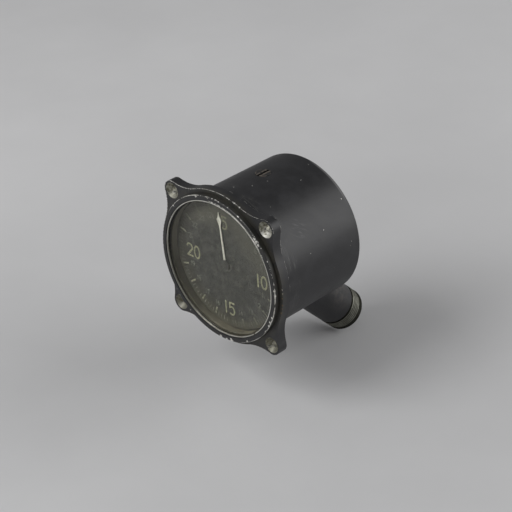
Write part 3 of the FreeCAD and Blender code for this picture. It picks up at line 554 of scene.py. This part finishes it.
along_girth = times(turn_angle, CASE_RADIUS)
scuff_place = place_of(times(plus(along_girth, y), 0.2), minus(y, along_girth))
scuffed = times(cloudy(scuff_place, 1.2, 0.52, 0.62), soft_step(away_from(CASE_SCUFF), 7.0, 2.0))
paint = blended(times(scuffed, 0.75), paint, (0.075, 0.075, 0.076))

# Painted highlight on the rounded rear edge at the upper right.
at_rear = times(soft_step(y, 51.9, 52.7), soft_step(y, 53.9, 53.5))
rear_painted_highlight = times(at_rear, soft_step(toward(32), 33.6, 36.4, 0.0, 0.75))
paint = blended(rear_painted_highlight, paint, (0.150, 0.150, 0.150))
print("rings and scuffs rubbed in")

# %% [markdown]
# The countersinks of the ears are bare metal, dull with old dirt. Each has a painted highlight on
# its lower part, the upper right one brightest of all.

# %% Bare metal and the ears' countersinks
SINK_RADIUS = 4.12
SINK_FLOOR = -0.3

ear_x = minus(maths("ABSOLUTE", x), EAR_PLACE)
ear_z = minus(maths("ABSOLUTE", z), EAR_PLACE)
in_cone = maths("LESS_THAN", length_of(ear_x, ear_z), SINK_RADIUS)
in_sink = times(times(in_cone, cloudy(here, 1.6, 0.32, 0.46)), maths("LESS_THAN", y, SINK_FLOOR))
alloy_tone = blended(cloudy(here, 1.3, 0.34, 0.62), (0.42, 0.41, 0.36), (0.86, 0.85, 0.80))
low_right = times(soft_step(z, 6.0, -2.0), soft_step(y, -6.5, -5.8))
alloy_tone = blended(times(low_right, rubbed), alloy_tone, (0.13, 0.095, 0.05))
sink_tone = blended(cloudy(here, 1.3, 0.36, 0.60), (0.12, 0.115, 0.075), (0.56, 0.55, 0.47))
low_sink = soft_step(z, 10.0, -10.0, 0.35, 0.8)
sink_tone = blended(low_sink, sink_tone, (0.11, 0.105, 0.07))
# Painted highlight on the lower part of each countersink, brightest on the upper right ear.
below_ear = minus(z, times(maths("SIGN", z), EAR_PLACE))
sink_painted_highlight = times(soft_step(below_ear, -1.2, -2.6, 0.0, 0.8), cloudy(here, 1.1, 0.34, 0.50))
ear_highlight_tone = blended(soft_step(toward(45), 0.0, 30.0), (0.26, 0.255, 0.21), (0.66, 0.65, 0.61))
sink_tone = blended(sink_painted_highlight, sink_tone, ear_highlight_tone)
alloy_tone = blended(in_sink, alloy_tone, sink_tone)
print("countersinks bared")

# %% [markdown]
# Now the enamel comes together: paint where it holds, metal where it is worn through, a
# slightly uneven gloss, and a fine orange-peel grain that breaks up the highlight.

# %% Enamel on the case
bare = larger(rubbed, in_sink)
peel = placed(grain, Place=here, Size=0.45, Spread=1.0)
gloss = scaled(grime, 0.08, 0.40)
coated(shader, blended(bare, paint, alloy_tone), scaled(in_sink, 0.06, gloss))
feed(shader.inputs["Metallic"], scaled(in_sink, 0.5, times(rubbed, 0.3)))
feed(shader.inputs["Normal"], bumped(minus(peel, times(rubbed, 1.5)), 0.02))
dress(enamel, "case")
print("case finished in", enamel.name)

# %% [markdown]
# The metals inside share one recipe: a base colour, a turned or drawn grain stretched along
# one way, and patches where the surface has dulled. Brass, steel, bronze and bare alloy
# differ only in their values, so one function mixes them all. The snap ring has dirt along
# both its edges.

# %% Finishes for the bare metals
RING_OUTER_DIRT = (35.62, 35.82)
RING_INNER_DIRT = (35.02, 34.88)
EVEN = (1.0, 1.0, 1.0)


def metal(name, bright, dull, rough, stretch, dull_size=4.0):
    """Bare metal: a bright and a dull tone in patches, with grain stretched by stretch."""
    finish, shader, here = new_finish(name, metallic=1.0)
    dulled = cloudy(here, dull_size, 0.35, 0.68)
    lines = placed(grain, Place=stretched(here, stretch), Size=0.25, Spread=1.0)
    coated(shader, blended(dulled, bright, dull),
           scaled(lines, 0.15, scaled(dulled, 0.16, rough)))
    feed(shader.inputs["Normal"], bumped(lines, 0.006))
    return finish


steel = metal("turned steel", (0.52, 0.52, 0.51), (0.33, 0.32, 0.30), 0.28, (1.0, 1.0, 8.0))
dull_steel = metal("dulled screw steel", (0.24, 0.24, 0.23), (0.12, 0.115, 0.10), 0.42, EVEN, 2.0)
brass = metal("aged brass", (0.66, 0.52, 0.27), (0.38, 0.29, 0.15), 0.30, (8.0, 1.0, 1.0))
bronze = metal("bearing bronze", (0.55, 0.38, 0.20), (0.34, 0.23, 0.12), 0.32, (1.0, 8.0, 1.0))
alloy = metal("bare cast alloy", (0.58, 0.58, 0.56), (0.40, 0.40, 0.38), 0.42, EVEN)
blued = metal("blued spring", (0.16, 0.17, 0.20), (0.10, 0.10, 0.11), 0.25, EVEN)
ring_metal = metal("dulled plated ring", (0.88, 0.87, 0.81), (0.62, 0.61, 0.55), 0.34, EVEN, 6.0)

x, _, z = parts_of(millimetres(ring_metal.node_tree))
radius = length_of(x, z)
grimy = larger(soft_step(radius, *RING_OUTER_DIRT), soft_step(radius, *RING_INNER_DIRT))
base = ring_metal.node_tree.nodes["Principled BSDF"].inputs["Base Color"]
feed(base, blended(grimy, base.links[0].from_socket, (0.055, 0.053, 0.045)))

FINISHES = {
    dull_steel: ["movement_screws"],
    steel: ["plate_screws", "sector_stop_pins", "rock_shaft", "collar_fork", "frame_screws",
            "governor_shaft", "governor_gear", "flyweight_pins", "sliding_collar",
            "drive_shaft", "drive_gear"],
    brass: ["hairspring_collet", "hairspring_stud", "front_plate", "rear_plate",
            "plate_pillars", "movement_posts", "sector_gear", "flyweight_carrier",
            "flyweight_right", "flyweight_left", "spring_seat_nut"],
    bronze: ["lower_bush", "upper_bush", "inner_drive_bush", "outer_drive_bush", "hairspring"],
    alloy: ["governor_frame"],
    blued: ["governor_spring"],
    ring_metal: ["snap_ring"],
}
for finish, names in FINISHES.items():
    dress(finish, *names)
print("metal nodes", sum(len(names) for names in FINISHES.values()))

# %% [markdown]
# The drive nipple is dulled plated metal, with dirt in its threads, a blackened end and a
# black groove where it meets the casting. The dirt follows the thread: it is the cosine of
# the distance down the drive, a full turn for each pitch, less the angle round the drive.

# %% Finish for the nipple
APEX_Y, APEX_Z = 28.5, -12.0
THREAD_START, THREAD_END, THREAD_PITCH = 64.0, 74.0, 25.4 / 18

thread_metal, shader, here = new_finish("dirty plated thread", metallic=0.9)
x, y, z = parts_of(here)
off_y, off_z = minus(y, APEX_Y), minus(z, APEX_Z)
down_drive = times(minus(off_y, off_z), math.sqrt(0.5))
across_drive = times(plus(off_y, off_z), -math.sqrt(0.5))
turned = maths("ARCTAN2", across_drive, x)
wound = times(down_drive, 2 * math.pi / THREAD_PITCH)
groove = maths("COSINE", minus(wound, turned))
tone = blended(cloudy(here, 5.0, 0.3, 0.65), (0.26, 0.26, 0.225), (0.17, 0.17, 0.14))
ends = larger(soft_step(down_drive, THREAD_START + 0.5, THREAD_START),
              soft_step(down_drive, THREAD_END - 3.8, THREAD_END - 2.4, 0.0, 0.9))
dirt = larger(times(soft_step(groove, 0.3, -0.6), 0.9), ends)
coated(shader, blended(dirt, tone, (0.022, 0.022, 0.017)), scaled(dirt, 0.25, 0.45))
grained(shader, here, 0.4, 0.02)
dress(thread_metal, "drive_nipple")
print("nipple finished in", thread_metal.name)

# %% [markdown]
# The oil plug is painted over with the case, and rust and bare steel show only round its
# slot and its edge.

# %% Finish for the plug
PLUG_OFFSET = 2.0

plug_paint, shader, here = new_finish("painted and rusted plug")
x, y, _ = parts_of(here)
off_x, off_y = plus(x, PLUG_OFFSET), minus(y, APEX_Y)
from_slot = maths("ABSOLUTE", off_x)
chipped = cloudy(here, 1.1, 0.38, 0.52)
near_slot = times(soft_step(from_slot, 2.1, 1.1), chipped)
near_edge = times(soft_step(length_of(off_x, off_y), 3.2, 3.8), cloudy(here, 2.2, 0.46, 0.56))
in_slot = soft_step(from_slot, 0.95, 0.6)
rust = blended(chipped, (0.075, 0.050, 0.036), (0.13, 0.11, 0.09))
tone = blended(larger(near_slot, near_edge), (0.016, 0.016, 0.016), rust)
coated(shader, blended(in_slot, tone, (0.006, 0.005, 0.004)), scaled(chipped, 0.2, 0.42))
feed(shader.inputs["Normal"], bumped(chipped, 0.03))
dress(plug_paint, "oil_plug")
print("plug finished in", plug_paint.name)

# %% [markdown]
# The dial is a thin plate with matt black paint that has faded to a grey-olive the colour of
# dust, spotted with age, lighter towards the top and the right, and browner and darker towards
# the lower left edge as painted shade. Painted light lightens the upper left, where the rim's
# shadow falls, and the lower right of the hub, where the hub's shadow falls. Each line below lays
# one more stain or painted light over the tone so far.

# %% Finish for the dial
DIAL_EDGE = 34.4
DIAL_FACE = -1.0

dial_paint, shader, here = new_finish("faded dial paint", rough=0.6)
x, _, z = parts_of(here)
out_from_hub = length_of(x, z)
mottled = cloudy(here, 2.6, 0.45, 0.62)
wiped = cloudy(stretched(here, (0.25, 1.0, 1.0)), 1.6, 0.54, 0.66)
ageing = cloudy(here, 6.0, 0.3, 0.6)
top_right_lighter = larger(soft_step(plus(x, z), 16.0, 34.0), soft_step(z, 14.0, 26.0))
top_right_lighter = times(top_right_lighter, scaled(ageing, 0.4, 0.4))
# Painted light: the upper left of the dial is lightened where the rim's shadow falls.
painted_light_under_rim = soft_step(scaled(x, -0.5, z), 22.0, 34.0, 0.0, 0.8)
# Painted shade: darker and browner towards the lower left edge.
low_left_painted_shade = times(soft_step(scaled(z, 0.8, x), -8.0, -26.0),
                 soft_step(out_from_hub, DIAL_EDGE - 12.0, DIAL_EDGE - 1.0))
low_left_painted_shade = times(low_left_painted_shade, scaled(ageing, 0.3, 0.4))
bottom_edge = times(soft_step(z, -20.0, -28.0),
                    soft_step(out_from_hub, DIAL_EDGE - 7.0, DIAL_EDGE - 2.0, 0.0, 0.75))
# Painted light: the dial is lightened at the lower right of the hub, where the hub's shadow
# falls.
painted_light_beside_hub = times(soft_step(out_from_hub, 3.9, 3.1), soft_step(minus(x, z), 0.5, 3.0))
tone = blended(cloudy(here, 9.0, 0.3, 0.7), (0.033, 0.034, 0.031), (0.046, 0.046, 0.041))
for share, stain in (
        (times(mottled, 0.7), (0.064, 0.064, 0.057)),
        (times(wiped, 0.35), (0.095, 0.095, 0.085)),
        (times(cloudy(here, 1.0, 0.58, 0.62), 0.7), (0.110, 0.103, 0.062)),
        (times(cloudy(here, 3.4, 0.52, 0.60), 0.55), (0.018, 0.018, 0.015)),
        (top_right_lighter, (0.088, 0.086, 0.068)),
        (painted_light_under_rim, (0.112, 0.108, 0.085)),
        (low_left_painted_shade, (0.042, 0.038, 0.019)),
        (bottom_edge, (0.080, 0.075, 0.050)),
        (painted_light_beside_hub, (0.175, 0.172, 0.15))):
    tone = blended(share, tone, stain)
coated(shader, tone, scaled(mottled, -0.1, 0.7))
grained(shader, here, 0.6, 0.003)
dress(dial_paint, "dial")
print("dial finished in", dial_paint.name)

# %% [markdown]
# The pointer is cream, on a hub that is blackened so that it does not catch the eye. The hub's
# side has painted light, lighter towards the lower right where it is in shade. The tip of its
# arbor, in front of the dial, is blackened too. The gasket is perished rubber.

# %% Finishes for the pointer, the arbor and the gasket
HUB_RADIUS = 2.9

cream, shader, here = new_finish("cream pointer, black hub", rough=0.5)
x, _, z = parts_of(here)
out_from_hub = length_of(x, z)
tone = blended(cloudy(here, 2.0, 0.35, 0.7), (0.70, 0.69, 0.62), (0.54, 0.53, 0.46))
# Painted light: the hub's side is lighter towards the lower right, where it is in shade.
hub_side_painted_light = blended(soft_step(minus(x, z), -1.0, 3.0), (0.07, 0.07, 0.062), (0.24, 0.235, 0.205))
hub_tone = blended(soft_step(out_from_hub, 2.50, 2.58), (0.050, 0.050, 0.044), hub_side_painted_light)
on_hub = maths("LESS_THAN", out_from_hub, HUB_RADIUS)
coated(shader, blended(on_hub, tone, hub_tone))
grained(shader, here, 0.15, 0.01)
dress(cream, "pointer")

tip_black, shader, here = new_finish("steel with a blackened tip", rough=0.6)
behind_dial = maths("GREATER_THAN", parts_of(here)[1], DIAL_FACE)
tone = blended(cloudy(here, 1.5, 0.35, 0.7), (0.50, 0.50, 0.49), (0.36, 0.35, 0.33))
coated(shader, blended(behind_dial, (0.070, 0.070, 0.058), tone), scaled(behind_dial, -0.3, 0.65))
feed(shader.inputs["Metallic"], behind_dial)
dress(tip_black, "pointer_arbor")

rubber, shader, here = new_finish("perished rubber", rough=0.75)
coated(shader, blended(cloudy(here, 1.5, 0.4, 0.7), (0.100, 0.093, 0.065), (0.145, 0.135, 0.100)))
grained(shader, here, 0.2, 0.02)
dress(rubber, "glass_gasket")
print("pointer, arbor and gasket finished")

# %% [markdown]
# The glass is plain and flat, under a thin film of dirt. Rays that only ask for shadow pass
# straight through it, so that the lamps reach the dial.

# %% Finish for the glass
glass, shader, here = new_finish("old flat glass", rough=0.03)
shader.inputs["Transmission Weight"].default_value = 1.0
shader.inputs["IOR"].default_value = 1.25
film = cloudy(here, 6.0, 0.35, 0.75)
coated(shader, blended(film, (0.97, 0.97, 0.95), (0.90, 0.90, 0.86)), scaled(film, 0.05, 0.02))
tree = glass.node_tree
lamp_pass = tree.nodes.new("ShaderNodeLightPath")
clear = tree.nodes.new("ShaderNodeBsdfTransparent")
clear.inputs["Color"].default_value = (0.93, 0.93, 0.91, 1.0)
either = tree.nodes.new("ShaderNodeMixShader")
feed(either.inputs[0], lamp_pass.outputs["Is Shadow Ray"])
feed(either.inputs[1], shader.outputs[0])
feed(either.inputs[2], clear.outputs[0])
feed(tree.nodes["Material Output"].inputs["Surface"], either.outputs[0])
dress(glass, "cover_glass")
print("glass finished")

# %% [markdown]
# New pieces are skins over rings of points. A ring is the cross-section at one step of a
# path; joining each ring to the next gives the surface. Whole arrays are worked out at once,
# and the mesh takes them in one go.

# %% Helpers that skin rings of points
def ring_faces(count, around, closed):
    """Quads between ring i and i + 1; a closed path also joins the last ring to the first."""
    steps = count if closed else count - 1
    i, j = np.meshgrid(np.arange(steps), np.arange(around), indexing="ij")
    nxt, side = (i + 1) % count, (j + 1) % around
    return np.stack([i * around + j, i * around + side, nxt * around + side,
                     nxt * around + j], axis=-1).reshape(-1, 4)


def skin(rings, closed=False):
    """Points and faces of one tube; an open tube gets a flat face at each end."""
    count, around, _ = rings.shape
    faces = ring_faces(count, around, closed).tolist()
    if not closed:
        faces.append(list(range(around))[::-1])
        faces.append([(count - 1) * around + k for k in range(around)])
    return rings.reshape(-1, 3), faces


def make_piece(name, tubes, finish, body):
    """One smooth mesh object of several tubes, given in millimetres, riding on a body."""
    points, faces, start = [], [], 0
    for tube_points, tube_faces in tubes:
        points.append(tube_points)
        faces += [[start + k for k in face] for face in tube_faces]
        start += len(tube_points)
    mesh = bpy.data.meshes.new(name)
    mesh.from_pydata(np.concatenate(points) * MM, [], faces)
    mesh.polygons.foreach_set("use_smooth", np.full(len(mesh.polygons), True))
    mesh.update()
    mesh.materials.append(finish)
    piece = bpy.data.objects.new(name, mesh)
    bpy.context.scene.collection.objects.link(piece)
    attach(piece, body)
    print(name, "points", len(mesh.vertices), "faces", len(mesh.polygons))
    return piece


# %% [markdown]
# The figures and marks are paint, laid on with a pen that leaves a low crown. Each figure is
# a few strokes, and a stroke is a centre line with a width: the section at each point is a
# shallow arch, and it narrows to nothing in a half circle at both ends.

# %% Strokes of paint
CAP_STEPS = 5


def stroke(line, width, rise=0.05, closed=False):
    """Arch sections carried along a line of (x, z) points: offset across the line by half the
    width, and lifted off the dial by the rise times the root of one minus the offset squared."""
    line = np.asarray(line, float)
    if closed:
        way = np.roll(line, -1, axis=0) - np.roll(line, 1, axis=0)
        half = np.full(len(line), width / 2)
    else:
        way = np.gradient(line, axis=0)
        way /= np.linalg.norm(way, axis=1)[:, None]
        turn = np.linspace(0.15, math.pi / 2, CAP_STEPS)
        cap = np.cos(turn)[:, None] * width / 2
        line = np.concatenate([line[0] - way[0] * cap, line, line[-1] + way[-1] * cap[::-1]])
        round_off = np.sin(turn) * width / 2
        half = np.concatenate([round_off, np.full(len(way), width / 2), round_off[::-1]])
        way = np.concatenate([np.repeat(way[:1], CAP_STEPS, axis=0), way,
                              np.repeat(way[-1:], CAP_STEPS, axis=0)])
    way /= np.linalg.norm(way, axis=1)[:, None]
    side = np.stack([-way[:, 1], way[:, 0]], axis=1)
    offsets = np.array([1.0, 0.6, 0.0, -0.6, -1.0, 0.0])
    lift = np.array([0.0, 0.8, 1.0, 0.8, 0.0, -0.4]) * rise
    flat = line[:, None, :] + side[:, None, :] * (half[:, None] * offsets[None, :])[:, :, None]
    depth = np.broadcast_to(DIAL_FACE - lift, flat.shape[:2])
    rings = np.stack([flat[:, :, 0], depth, flat[:, :, 1]], axis=-1)
    return skin(rings, closed)


print("pen ready, with", CAP_STEPS, "steps in each round end")

# %% [markdown]
# Figures are drawn in a box one unit high, from arcs, straight lines and loops. Each says
# whether it closes on itself.

# %% Figures
def arc(cx, cz, rx, rz, first, last, count=24, closed=False):
    """Points of an ellipse's arc, from one angle in degrees to another."""
    angle = np.radians(np.linspace(first, last, count))
    return np.stack([cx + rx * np.cos(angle), cz + rz * np.sin(angle)], axis=1), closed


def loop(cx, cz, rx, rz, count=30):
    """A whole ellipse."""
    return arc(cx, cz, rx, rz, 0, 350, count, closed=True)


def line(x0, z0, x1, z1, count=6):
    """Points of a straight line from one end to the other."""
    share = np.linspace(0, 1, count)[:, None]
    return np.array([[x0, z0]]) * (1 - share) + np.array([[x1, z1]]) * share, False


FIGURES = {
    "0": [loop(0.27, 0.5, 0.27, 0.5, 36)],
    "1": [line(0.12, 0.0, 0.12, 1.0)],
    "2": [arc(0.27, 0.72, 0.27, 0.28, 165, -20), line(0.50, 0.58, 0.02, 0.0),
          line(0.02, 0.0, 0.56, 0.0)],
    "3": [arc(0.25, 0.75, 0.25, 0.25, 150, -80), arc(0.25, 0.27, 0.28, 0.27, 80, -150)],
    "4": [line(0.40, 0.0, 0.40, 1.0), line(0.40, 1.0, 0.0, 0.3), line(0.0, 0.3, 0.56, 0.3)],
    "5": [line(0.50, 1.0, 0.08, 1.0), line(0.08, 1.0, 0.05, 0.56),
          arc(0.25, 0.33, 0.28, 0.33, 128, -125)],
    "6": [loop(0.27, 0.29, 0.26, 0.29), arc(0.46, 0.36, 0.45, 0.64, 178, 108)],
    "7": [line(0.0, 1.0, 0.52, 1.0), line(0.52, 1.0, 0.18, 0.0)],
    "8": [loop(0.27, 0.75, 0.22, 0.25), loop(0.27, 0.26, 0.27, 0.26)],
    "9": [loop(0.27, 0.71, 0.26, 0.29), arc(0.08, 0.64, 0.45, 0.64, -2, -72)],
}
NARROW_WIDTH, FIGURE_WIDTH, FIGURE_GAP = 0.24, 0.54, 0.23


def number(text, cx, cz, height, width):
    """Strokes of a number centred at (cx, cz) on the dial."""
    widths = [NARROW_WIDTH if figure == "1" else FIGURE_WIDTH for figure in text]
    pen = -(sum(widths) + FIGURE_GAP * (len(text) - 1)) / 2
    tubes = []
    for figure, wide in zip(text, widths):
        for points, closed in FIGURES[figure]:
            moved = (points + np.array([pen, -0.5])) * height + np.array([cx, cz])
            tubes.append(stroke(moved, width, closed=closed))
        pen += wide + FIGURE_GAP
    return tubes


print("figures", " ".join(FIGURES))

# %% [markdown]
# The four large figures and the unit bars were luminous paint, now a dull yellow-green. The
# other marks are thin and faint. All are worn through in patches to the dial's colour, and
# each kind has lost a little more at the top or the right, as on the photo.

# %% Paints for the print
def faded_paint(name, fresh, aged, missing, lost, top_loss, right_loss=0.0):
    """Paint worn through in patches to the dial's colour; top_loss is (low, high, share)."""
    finish, shader, here = new_finish(name, rough=0.65)
    across, _, height = parts_of(here)
    tone = blended(cloudy(here, 1.8, 0.35, 0.65), fresh, aged)
    gone = times(cloudy(here, 0.9, missing, missing + 0.16), lost)
    low, high, share = top_loss
    worn_high = soft_step(height, low, high, 0.0, share)
    worn_right = soft_step(across, -2.0, 12.0, 0.0, right_loss)
    gone = larger(gone, larger(worn_high, worn_right))
    coated(shader, blended(gone, tone, (0.052, 0.052, 0.044)))
    grained(shader, here, 0.12, 0.01)
    return finish


luminous = faded_paint("faded luminous paint", (0.31, 0.31, 0.19), (0.22, 0.22, 0.14),
                       0.55, 0.45, (8.0, 22.0, 0.4))
bar_paint = faded_paint("worn bar paint", (0.28, 0.28, 0.19), (0.17, 0.17, 0.12),
                        0.47, 0.7, (-8.0, 16.0, 0.45), 0.6)
thin_print = faded_paint("faint white print", (0.27, 0.27, 0.235), (0.17, 0.17, 0.145),
                         0.46, 0.7, (-24.0, -4.0, 0.88))
small_print = faded_paint("faint small print", (0.205, 0.205, 0.175), (0.125, 0.125, 0.105),
                          0.44, 0.75, (0.0, 20.0, 0.1))
print("four paints mixed")

# %% [markdown]
# The scale runs clockwise from 5 at the top, through 10, 15 and 20, once round to 25: one
# unit for each 18 degrees, with a bar at each unit, a fine mark at each fifth of a unit, and
# a large figure at each fifth unit.

# %% Print the dial
UNITS, LARGE_STEP, FIFTHS = 20, 5, 5
UNIT_ANGLE = 360.0 / UNITS
FIRST_FIGURE = 5
LARGE_PLACES = {"5": (0.3, 23.0), "10": (23.8, -0.8), "15": (0.3, -24.3), "20": (-23.0, -0.5)}
LARGE_HEIGHT, LARGE_STROKE = 6.6, 0.92
SMALL_CIRCLE, SMALL_HEIGHT, SMALL_STROKE = 25.5, 2.5, 0.32
BAR = (28.9, 32.4, 0.85)
FIFTH = (30.6, 32.8, 0.28)


def spoke(angle):
    """The direction of a spoke of the dial; the angle runs clockwise from the top."""
    return np.array([math.sin(math.radians(angle)), math.cos(math.radians(angle))])


def mark(angle, inner, outer, width):
    """A bar along a spoke of the dial, from an inner to an outer radius."""
    return stroke(np.linspace(inner, outer, 4)[:, None] * spoke(angle), width)


large = []
for text, (cx, cz) in LARGE_PLACES.items():
    large += number(text, cx, cz, LARGE_HEIGHT, LARGE_STROKE)
bars = [mark(UNIT_ANGLE * unit, *BAR) for unit in range(UNITS) if unit % LARGE_STEP]
fifths = [mark(UNIT_ANGLE * k / FIFTHS, *FIFTH) for k in range(UNITS * FIFTHS) if k % FIFTHS]
small = []
for unit in range(UNITS):
    if unit % LARGE_STEP:
        middle = SMALL_CIRCLE * spoke(UNIT_ANGLE * unit)
        small += number(str(FIRST_FIGURE + unit), *middle, SMALL_HEIGHT, SMALL_STROKE)
for name, tubes, finish in (
        ("large_figures", large, luminous), ("unit_bars", bars, bar_paint),
        ("fifth_marks", fifths, thin_print), ("small_figures", small, small_print)):
    make_piece(name, tubes, finish, "housing")

# %% [markdown]
# The drive nipple has a fine screw thread, cut on a lathe. Its skin is a surface of two
# parameters: the angle round the drive's axis and the place along its outline. On the
# threaded length the radius dips in a cosine wave, one wave for each pitch along the axis,
# and the wave moves on by one pitch in each turn.

# %% Cut the threaded nipple
APEX = np.array([0.0, APEX_Y, APEX_Z])
DRIVE_WAY = np.array([0.0, math.sqrt(0.5), -math.sqrt(0.5)])
SHANK_START, SHANK_RADIUS, BORE_INNER = 53.4, 8.0, 4.6
NECK_START, NECK_RADIUS = 63.4, 9.8
THREAD_RADIUS, THREAD_DEPTH, LIP = 11.4, 0.6, 0.4
SOCKET_RADIUS, SOCKET_FLOOR = 6.4, 65.0


def nipple_rings(turns=96, per_pitch=10):
    """Rings round the drive axis, one for each angle; each ring is the whole outline."""
    length = THREAD_END - LIP - THREAD_START
    along = THREAD_START + length * np.linspace(0, 1, int(length / THREAD_PITCH * per_pitch))
    head = np.array([[SOCKET_RADIUS, SOCKET_FLOOR], [BORE_INNER, SOCKET_FLOOR],
                     [BORE_INNER, SHANK_START], [SHANK_RADIUS, SHANK_START],
                     [SHANK_RADIUS, NECK_START], [NECK_RADIUS, NECK_START],
                     [NECK_RADIUS, THREAD_START]])
    tail = np.array([[THREAD_RADIUS - LIP, THREAD_END], [SOCKET_RADIUS, THREAD_END]])
    angle = np.linspace(0, 2 * math.pi, turns, endpoint=False)
    wave = np.cos(2 * math.pi * (along[None, :] / THREAD_PITCH) - angle[:, None])
    fade = np.clip(np.minimum(along - THREAD_START, THREAD_END - LIP - along) / 0.5, 0, 1)
    threaded = THREAD_RADIUS - THREAD_DEPTH * (0.5 - 0.5 * wave) * fade[None, :]
    reach = np.concatenate([np.repeat(head[None, :, 0], turns, axis=0), threaded,
                            np.repeat(tail[None, :, 0], turns, axis=0)], axis=1)
    station = np.concatenate([head[:, 1], along, tail[:, 1]])
    side = np.array([1.0, 0.0, 0.0])
    other = np.cross(DRIVE_WAY, side)
    round_way = np.cos(angle)[:, None] * side + np.sin(angle)[:, None] * other
    return (APEX + station[None, :, None] * DRIVE_WAY + reach[:, :, None] * round_way[:, None, :])


nipple = make_piece("threaded_nipple", [skin(nipple_rings(), closed=True)], thread_metal,
                    "housing")
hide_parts("drive_nipple")

# %% [markdown]
# The flyweights lift the collar against a compression spring. The wound spring stands in for the
# rigid one: a circle of wire is carried along a helix, whose height grows evenly with the angle.

# %% Wind the governor's spring
SPRING_WIRE, SPRING_MEAN, SPRING_TURNS = 0.6, 2.4, 6
spring_node = nodes["governor_spring"]
spring_heights = [(spring_node.matrix_world @ v.co).z / MM for v in spring_node.data.vertices]
spring_foot = min(spring_heights) + SPRING_WIRE / 2
spring_head = max(spring_heights) - SPRING_WIRE / 2


def coil_rings(steps_per_turn=40, around=10):
    """Rings of wire: each is a circle in the plane of the axis and the way out from it."""
    share = np.linspace(0, 1, steps_per_turn * SPRING_TURNS + 1)
    angle = 2 * math.pi * SPRING_TURNS * share
    out_way = np.stack([np.cos(angle), np.sin(angle), np.zeros_like(angle)], axis=1)
    middle = SPRING_MEAN * out_way
    middle[:, 1] += APEX_Y
    middle[:, 2] = spring_foot + (spring_head - spring_foot) * share
    turn = np.linspace(0, 2 * math.pi, around, endpoint=False)
    off = SPRING_WIRE / 2 * np.cos(turn)[None, :, None] * out_way[:, None, :]
    rise = SPRING_WIRE / 2 * np.sin(turn)[None, :, None] * np.array([0.0, 0.0, 1.0])
    return middle[:, None, :] + off + rise


coil = make_piece("governor_coil", [skin(coil_rings())], blued, "governor")
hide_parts("governor_spring")
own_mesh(coil)
print("spring from", round(spring_foot, 2), "to", round(spring_head, 2), "mm")

# %% [markdown]
# A pale floor takes the soft shadow. Its colour is painted shade: a little darker round the
# middle and paler away from it.

# %% Floor
FLOOR_HEIGHT = cad_low.z - 0.0005
FLOOR_HALF = 4.0

floor_mesh = bpy.data.meshes.new("floor")
corners = [(-FLOOR_HALF, -FLOOR_HALF), (FLOOR_HALF, -FLOOR_HALF), (FLOOR_HALF, FLOOR_HALF),
           (-FLOOR_HALF, FLOOR_HALF)]
floor_mesh.from_pydata([(*corner, FLOOR_HEIGHT) for corner in corners], [], [(0, 1, 2, 3)])
floor = bpy.data.objects.new("floor", floor_mesh)
bpy.context.scene.collection.objects.link(floor)
floor_finish, shader, here = new_finish("pale studio floor", rough=0.8)
x, y, _ = parts_of(here)
# Painted shade: the floor is darker round the middle and paler away from it.
far = plus(soft_step(length_of(x, y), 60.0, 480.0, 0.0, 0.7),
           times(cloudy(here, 220.0, 0.2, 0.8), 0.3))
coated(shader, blended(far, (0.57, 0.57, 0.575), (0.80, 0.80, 0.805)))
floor_mesh.materials.append(floor_finish)
print("floor at", round(FLOOR_HEIGHT / MM, 1), "mm")

# %% [markdown]
# One wide lamp to the right and a little behind gives the long sheen down the case, a second
# one in front and above lights the dial, and the world fills the rest. The world looks
# brighter to the camera than it lights, so that the pale backdrop doesn't grey the enamel.

# %% Lamps and world
WORLD_LIGHT, WORLD_EXTRA_FOR_CAMERA = 0.22, 0.30


def lamp(name, way, distance, size, watts):
    """A square lamp that hangs in a direction from the object and faces it."""
    data = bpy.data.lights.new(name, "AREA")
    data.size = size
    data.energy = watts
    hung = bpy.data.objects.new(name, data)
    way = Vector(way).normalized()
    hung.location = AIM + way * distance
    hung.rotation_euler = way.to_track_quat("Z", "Y").to_euler()
    bpy.context.scene.collection.objects.link(hung)
    print(name, [round(v, 2) for v in hung.location])


lamp("wide lamp at the right", (0.73, 0.60, 0.40), 2.0, 1.8, 23.0)
lamp("lamp above the dial", (-0.25, -0.75, 0.75), 1.3, 0.7, 8.5)
world = bpy.data.worlds.new("studio")
world.use_nodes = True
tree = world.node_tree
backdrop = tree.nodes["Background"].inputs
backdrop["Color"].default_value = (1.0, 1.0, 1.01, 1.0)
seen = tree.nodes.new("ShaderNodeLightPath").outputs["Is Camera Ray"]
feed(backdrop["Strength"], scaled(seen, WORLD_EXTRA_FOR_CAMERA, WORLD_LIGHT))
bpy.context.scene.world = world
